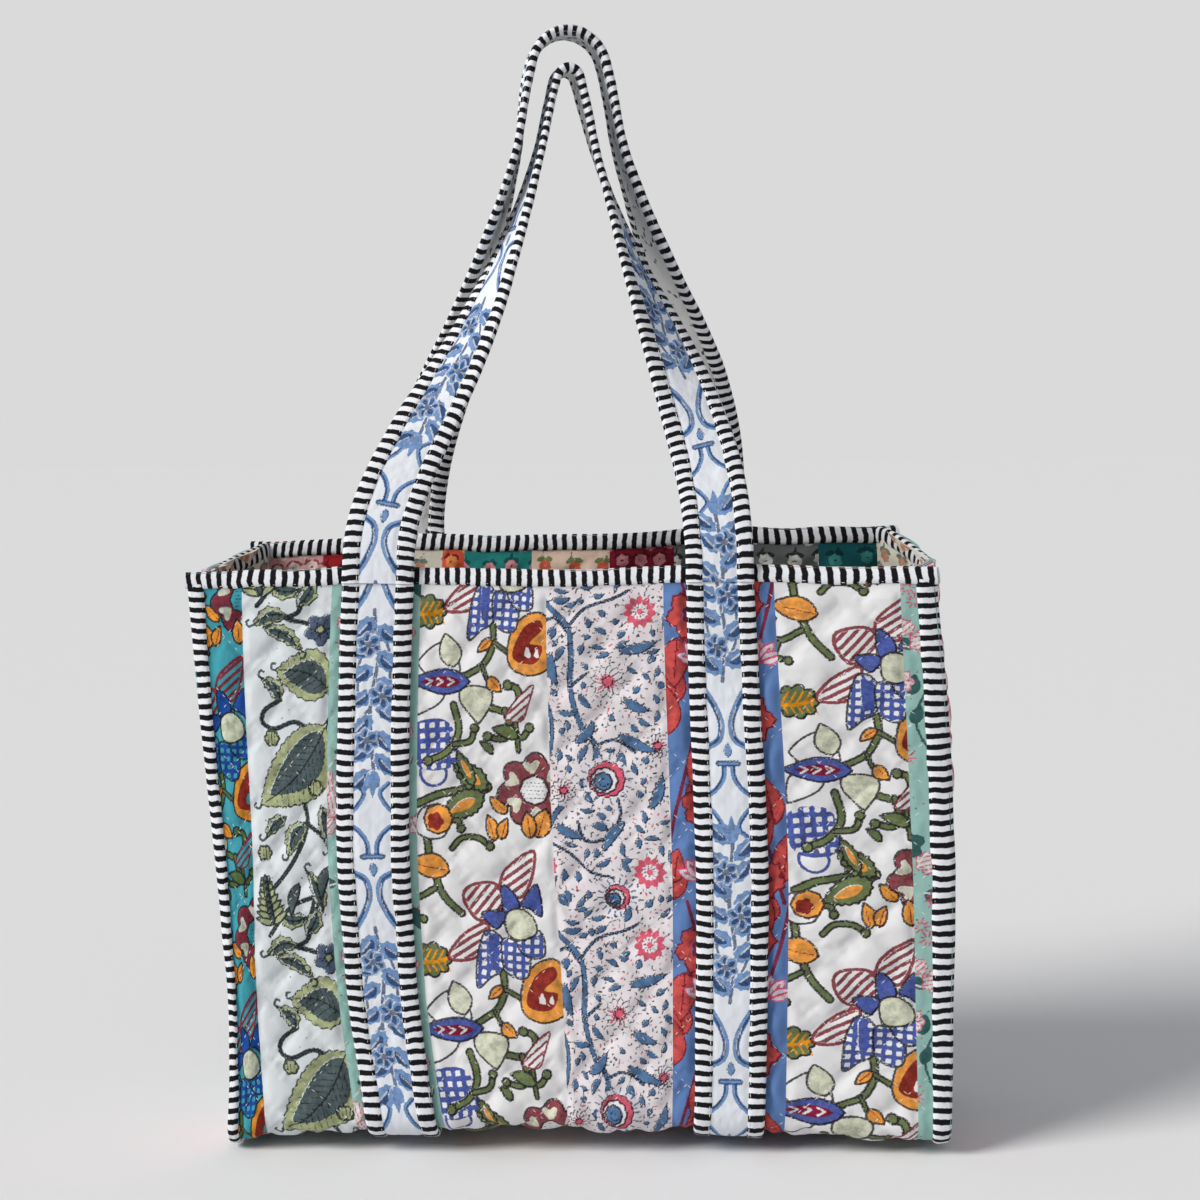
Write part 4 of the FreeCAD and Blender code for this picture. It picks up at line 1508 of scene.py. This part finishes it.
def make_mouth_bindings():
    run = spaced(-EDGE - 1.0, EDGE + 1.0, TAPE_PITCH)
    for sign, word in ((-1, "front"), (1, "rear")):
        def place(r, w, n, sign=sign):
            return hang(np.stack([r, sign * (FRONT_Y + n), RIM - w], -1))
        make_body_tape("mouth_binding_" + word, place, run, 0.8, 520 + 10 * sign, sign < 0)
    half = FRONT_Y - SHEET - 1.0
    run = spaced(-half - 3, half + 3, TAPE_PITCH)
    for side, word in ((-1, "left"), (1, "right")):
        def place(r, w, n, side=side):
            return hang(np.stack([side * (GUSSET_FACE + n), r, RIM - w], -1))
        make_body_tape("mouth_binding_" + word, place, run, 0.8, 540 + 10 * side, side > 0)


# ---------------------------------------------------------------- straps

# Where the middle of a blue spray falls along each strap
STRAP_SPRAY = {-1: 68.0, 1: 10.0}
HANDLE_SPRAY = 150.0
SPRAY_REPEAT = 201.0
OGEE_AFTER_SPRAY = 103.0


# Quilting of a strap: its chevrons, and how far its tapes stand out
CHEVRON_PITCH = 26.0
STRAP_TAPE_OUT = 0.75
STRAP_TAPE_BULGE = 0.55


def strap_frames_on_body(side):
    """Middle line of a strap on the body, with its width and outward directions."""
    s = spaced(0, U_LENGTH - 2 * (SHEET_TOP - SEAM_TOP), 1.0)
    u = s + SHEET_TOP - SEAM_TOP
    y, z, ny, nz = u_outline(u)
    lift = TAPE + STRAP_SANDWICH / 2
    centre = np.stack([np.full_like(y, side * STRAP_CENTRE), y + ny * lift, z + nz * lift], -1)
    width = np.tile([1.0, 0.0, 0.0], (len(s), 1))
    outward = np.stack([0 * y, ny, nz], -1)
    return s, centre, width, outward


def unit(v):
    return v / np.linalg.norm(v, axis=-1, keepdims=True)


def handle_frames(loop_shape, half_turn):
    """Middle line of a handle from its left foot over the top to its right foot, every millimetre."""
    turn = math.radians(LOOP_TURN)
    across = np.array([math.cos(turn), math.sin(turn), 0.0])
    up = np.array([0.0, 0.0, 1.0])
    radius = loop_shape["radius"]
    centre = up * (loop_shape["top"] - STRAP_THICKNESS / 2 - radius)
    foot_y = -(FRONT_Y + TAPE + RIM_GAP + STRAP_THICKNESS / 2)
    foot_z = SEAM_TOP + RIM_GAP
    slope = math.atan2(centre[2] - foot_z, STRAP_CENTRE)
    top_turn = LOOP_TURN - 90.0
    legs = []
    for sign, foot_turn in ((-1, 0.0), (1, -180.0)):
        foot = np.array([sign * STRAP_CENTRE, foot_y, foot_z])
        ankle = foot + up * FOOT_RISE
        shoulder = centre + across * (sign * radius * math.sin(slope)) + up * (radius * math.cos(slope))
        inward = across * (-sign * math.cos(slope)) + up * math.sin(slope)
        reach = np.linalg.norm(shoulder - ankle)
        a, b, c, d = ankle, ankle + up * EASE_FOOT, shoulder - inward * (reach * EASE_TOP), shoulder
        t = np.linspace(0, 1, LEG_POINTS)[:, None]
        place = a * (1 - t) ** 3 + b * 3 * (1 - t) ** 2 * t + c * 3 * (1 - t) * t * t + d * t**3
        rising = unit((b - a) * (1 - t) ** 2 + (c - b) * 2 * (1 - t) * t + (d - c) * t * t)
        heading = foot_turn + (top_turn - foot_turn) * smooth((t[:, 0] - TURN_START) / (1 - TURN_START))
        low = np.linspace(0, 1, FOOT_POINTS + 1)[:-1, None]
        place = np.concatenate([foot + up * FOOT_RISE * low, place])
        rising = np.concatenate([np.tile(up, (FOOT_POINTS, 1)), rising])
        heading = np.concatenate([np.full(FOOT_POINTS, foot_turn), heading])
        legs.append((place, rising * -sign, heading))
    angle = math.pi / 2 + slope * np.linspace(1, -1, ARCH_POINTS + 2)[1:-1]
    arch = centre + radius * (np.cos(angle)[:, None] * across + np.sin(angle)[:, None] * up)
    arch_along = np.sin(angle)[:, None] * across - np.cos(angle)[:, None] * up
    place = np.concatenate([legs[0][0], arch, legs[1][0][::-1]])
    along = np.concatenate([legs[0][1], arch_along, legs[1][1][::-1]])
    heading = np.radians(np.concatenate([legs[0][2], np.full(ARCH_POINTS, top_turn), legs[1][2][::-1]]))
    level = np.stack([np.cos(heading), np.sin(heading), 0 * heading], -1)
    width = unit(level - along * (level * along).sum(-1, keepdims=True))
    outward = np.cross(width, along)
    distance = np.concatenate([[0], np.cumsum(np.linalg.norm(np.diff(place, axis=0), axis=1))])
    s = spaced(0, distance[-1], 1.0)
    fields = [np.stack([np.interp(s, distance, f[:, k]) for k in range(3)], -1)
              for f in (place, width, outward)]
    centre_line, width, outward = fields[0], unit(fields[1]), unit(fields[2])
    if half_turn:
        spin = np.array([-1.0, -1.0, 1.0])
        centre_line, width, outward = centre_line * spin, width * spin, outward * spin
    return s, centre_line, width, outward


def make_strap(name, nodes, frames, body, first_spray, turn, seed):
    """A strap: printed face, wadding core, backing cloth and two folded tapes. nodes names its CAD parts."""
    s, centre, width, outward = frames
    length = float(s[-1])

    def at(run, w, n):
        i = np.interp(run, s, np.arange(len(s)))
        low = np.clip(i.astype(int), 0, len(s) - 2)
        f = (i - low)[..., None]
        c = centre[low] * (1 - f) + centre[low + 1] * f
        wide = unit(width[low] * (1 - f) + width[low + 1] * f)
        out = unit(outward[low] * (1 - f) + outward[low + 1] * f)
        return hang(c + wide * w[..., None] + out * n[..., None])

    half = STRAP_WIDTH / 2 - TAPE
    columns = spaced(-half, half, 1.0)
    skin = STRAP_SANDWICH / 2
    core = STRAP_CORE / 2
    for word, sign, slot, dyes, pitch, paint in (
            ("face", 1, "strap_print", STRAP_DYES, 1.0, lambda c: paint_strap(c, first_spray, length, turn)),
            ("backing", -1, "strap_backing", BACKING_DYES, 1.4, lambda c: paint_backing(c, length))):
        rows = spaced(0, length, pitch)
        w, r = np.meshgrid(columns, rows)
        free = smooth((STRAP_WIDTH / 2 - TAPE_COVER + 0.5 - np.abs(w)) / 4)
        ruck = 0.55 + 0.30 * noise(w, r, 9, seed) + 0.22 * noise(w * 2, r, 4.5, seed + 1)
        ruck = ruck * (0.4 + 0.6 * stitched(nearest_line(r + 0.7 * np.abs(w), CHEVRON_PITCH), 3.0))
        fine = at(r, w, sign * (skin + ruck * free))
        picks = thin_out(len(columns), 7)
        back = at(r[:, picks], w[:, picks], np.full(r[:, picks].shape, sign * core))
        attributes = on_cloth(w, r, printed(columns, rows, dyes, paint))
        piece = closed_sheet(name + "_" + word + "_cloth", fine, back, picks, attributes, flip=sign > 0)
        dress(piece, slot, [nodes[word]], body)
    few = spaced(-half, half, 6.0)
    w, r = np.meshgrid(few, spaced(0, length, 4.0))
    faces = [at(r, w, np.full_like(r, depth)) for depth in (core, -core)]
    piece = closed_sheet(name + "_core_fibre", *faces, np.arange(len(few)), on_cloth(w, r), flip=True)
    dress(piece, "wadding", [nodes["core"]], body)
    section = tape_section(TAPE_COVER, skin + STRAP_TAPE_OUT, -skin - STRAP_TAPE_OUT, STRAP_TAPE_BULGE)
    run = spaced(0, length, 1.5)
    for sign, word in ((-1, "low"), (1, "high")):
        def place(r, w, n, sign=sign):
            return at(r, sign * (STRAP_WIDTH / 2 - w), n)
        tape_name = name + "_" + word + "_tape"
        make_tape(tape_name, place, run, section, [nodes[word]], body, seed + 7 + sign, flip=sign > 0)
        add_stitches(body, place, run, TAPE_COVER - 1.3, skin + 1.0)
        if body != "bag":
            add_stitches(body, place, run, TAPE_COVER - 1.3, -skin - 1.0)


def strap_nodes(name, low, high):
    """The CAD nodes of a strap. low and high say which binding is on each edge."""
    nodes = {part: name + "_" + part for part in ("face", "core", "backing")}
    nodes["low"] = name + "_" + low + "_binding"
    nodes["high"] = name + "_" + high + "_binding"
    return nodes


def make_straps():
    for side, name, low, high in ((-1, "left_strap", "outer", "inner"), (1, "right_strap", "inner", "outer")):
        nodes = strap_nodes(name, low, high)
        make_strap(name, nodes, strap_frames_on_body(side), "bag", STRAP_SPRAY[side], side, 600 + 20 * side)
    for name, loop_shape, half_turn, seed in (("front_handle", FRONT_LOOP, False, 660),
                                              ("rear_handle", REAR_LOOP, True, 640)):
        nodes = strap_nodes(name, "outer", "inner")
        make_strap(name, nodes, handle_frames(loop_shape, half_turn), name, HANDLE_SPRAY, 1, seed)


# ---------------------------------------------------------------- sewing thread

STITCHES = {"bag": [], "front_handle": [], "rear_handle": []}
STITCH = 2.7
STITCH_GAP = 1.5
STITCH_SINK = 0.28
QUILT_STEP = 6.4
QUILT_STITCH = 3.2
THREAD = 0.24


def add_stitches(body, place, run, inward, outward):
    """Collects a line of stitches on a tape, this far in from the edge and this far out. Their ends sink in."""
    starts = np.arange(run[0] + 2, run[-1] - STITCH - 1, STITCH + STITCH_GAP)
    for number in range(3):
        r = starts + STITCH * number / 2
        sunk = 0.0 if number == 1 else STITCH_SINK
        n = np.full_like(r, outward - math.copysign(1, outward) * sunk)
        STITCHES[body].append(place(r, np.full_like(r, inward), n))


def add_quilting():
    """Running stitches along the quilted diagonals of the front and the back."""
    reach = EDGE - TAPE_COVER - 3
    sets = ([], [], [])
    line = np.arange(-900, 1400, QUILT_STEP)
    for lean in (1, -1):
        for k in range(-40, 60):
            a = k * QUILT_CELL
            clear = True
            for number in range(3):
                p = line + QUILT_STITCH / 2 * number
                x = (a + p) * math.sqrt(0.5)
                u = (a - p) * math.sqrt(0.5) * lean
                if number == 0:
                    clear = (np.abs(x) < reach) & (u > TAPE_COVER + 4) & (u < U_LENGTH - TAPE_COVER - 4)
                    clear &= np.abs(np.abs(x) - STRAP_CENTRE) > STRAP_WIDTH / 2 + 3
                x, u = x[clear], u[clear]
                x = x - QUILT_WOBBLE * noise(x, u, 60, 31) * math.sqrt(2)
                lift = quilt(x, u, OUTER_SEAMS) + (0.1 if number == 1 else -0.2)
                sets[number].append(body_points(x, u, lift))
    for number in range(3):
        STITCHES["bag"].append(np.concatenate(sets[number]))


def make_threads():
    for body, rows in STITCHES.items():
        first = np.concatenate(rows[0::3])
        middle = np.concatenate(rows[1::3])
        last = np.concatenate(rows[2::3])
        along = unit(last - first + 1e-9)
        rise = middle - (first + last) / 2
        rise = unit(rise - along * (rise * along).sum(-1, keepdims=True) + 1e-9)
        side = np.cross(along, rise)
        rings = []
        for centre, size in ((first, 0.7), (middle, 1.0), (last, 0.7)):
            for c, s in ((1, 0), (0, 1), (-1, 0), (0, -1)):
                rings.append(centre + THREAD * size * (c * side + s * rise))
        count = len(first)
        points = np.stack(rings, 1).reshape(-1, 3)
        base = (np.arange(count) * 12)[:, None]
        pattern = []
        for ring in range(2):
            for k in range(4):
                a = ring * 4 + k
                b = ring * 4 + (k + 1) % 4
                pattern.append([a, b, b + 4, a + 4])
        pattern.append([3, 2, 1, 0])
        pattern.append([8, 9, 10, 11])
        quads = (base[:, None, :] + np.array(pattern)[None]).reshape(-1, 4)
        attributes = {"cloth": points.reshape(-1, 3) * 1.0}
        piece = make_mesh(body + "_sewing_thread", points, quads, [], attributes)
        dress(piece, "stitching_thread", [], body)


# ---------------------------------------------------------------- studio

CAMERA_PLACE = np.array([82.0, -1457.0, 442.0])
CAMERA_YAW = -2.85
CAMERA_PITCH = -4.03
CAMERA_ROLL = -0.6
CAMERA_LENS = 65.8
FLOOR_DROP = 15.0
SKY_COLOUR = (0.93, 0.95, 1.0, 1)
SKY_STRENGTH = 0.38
BACKDROP_STRENGTH = 0.70
SUN_TOWARD = (-0.80, -0.52, 0.62)
SUN_SPREAD = 26.0
SUN_POWER = 2.9
SUN_COLOUR = (1.0, 0.985, 0.96)
FLOOR_HALF = 60.0


def make_camera():
    yaw, pitch, roll = (math.radians(v) for v in (CAMERA_YAW, CAMERA_PITCH, CAMERA_ROLL))
    forward = np.array([math.sin(yaw) * math.cos(pitch), math.cos(yaw) * math.cos(pitch), math.sin(pitch)])
    right = np.array([math.cos(yaw), -math.sin(yaw), 0.0])
    up = np.cross(right, forward)
    level = right * math.cos(roll) + up * math.sin(roll)
    upright = up * math.cos(roll) - right * math.sin(roll)
    camera = bpy.data.cameras.new("camera")
    camera.lens = CAMERA_LENS
    camera.sensor_width = 36.0
    thing = bpy.data.objects.new("camera", camera)
    axes = np.stack([level, upright, -forward, CAMERA_PLACE * MM], -1)
    thing.matrix_world = Matrix(axes.tolist() + [[0, 0, 0, 1]])
    bpy.context.scene.collection.objects.link(thing)
    bpy.context.scene.camera = thing


def make_sun():
    """A wide soft light from a direction."""
    light = bpy.data.lights.new("key", "SUN")
    light.angle = math.radians(SUN_SPREAD)
    light.energy = SUN_POWER
    light.color = SUN_COLOUR
    thing = bpy.data.objects.new("key", light)
    back = unit(np.array(SUN_TOWARD, float))
    right = unit(np.cross([0, 0, 1.0], back))
    up = np.cross(back, right)
    thing.matrix_world = Matrix([[right[k], up[k], back[k], 2 * back[k]] for k in range(3)] + [[0, 0, 0, 1]])
    bpy.context.scene.collection.objects.link(thing)


def make_world():
    """Soft light from all round, and a plain backdrop that only the camera sees."""
    world = bpy.data.worlds.new("studio")
    world.use_nodes = True
    nodes = world.node_tree.nodes
    sky = nodes["Background"]
    backdrop = nodes.new("ShaderNodeBackground")
    for light, colour, strength in ((sky, SKY_COLOUR, SKY_STRENGTH),
                                    (backdrop, (1, 1, 1, 1), BACKDROP_STRENGTH)):
        light.inputs["Color"].default_value = colour
        light.inputs["Strength"].default_value = strength
    seen = nodes.new("ShaderNodeLightPath")
    either = nodes.new("ShaderNodeMixShader")
    link = world.node_tree.links.new
    link(seen.outputs["Is Camera Ray"], either.inputs[0])
    link(sky.outputs[0], either.inputs[1])
    link(backdrop.outputs[0], either.inputs[2])
    link(either.outputs[0], nodes["World Output"].inputs["Surface"])
    bpy.context.scene.world = world


def make_floor():
    mesh = bpy.data.meshes.new("floor")
    corners = [(x * FLOOR_HALF, y * FLOOR_HALF, -FLOOR_DROP * MM)
               for x, y in ((-1, -1), (1, -1), (1, 1), (-1, 1))]
    mesh.from_pydata(corners, [], [(0, 1, 2, 3)])
    floor = bpy.data.objects.new("floor", mesh)
    bpy.context.scene.collection.objects.link(floor)
    pale = Shader("floor_pale", 0.9, 0.0)
    pale.surface.inputs["Base Color"].default_value = dye(236, 236, 236)
    mesh.materials.append(pale.material)


MATERIALS = make_materials()
make_wadding()
make_outer_strips()
make_linings()
make_gussets()
make_edge_bindings()
make_mouth_bindings()
make_straps()
add_quilting()
make_threads()
make_camera()
make_world()
make_sun()
make_floor()
bpy.context.scene.view_settings.view_transform = "Standard"
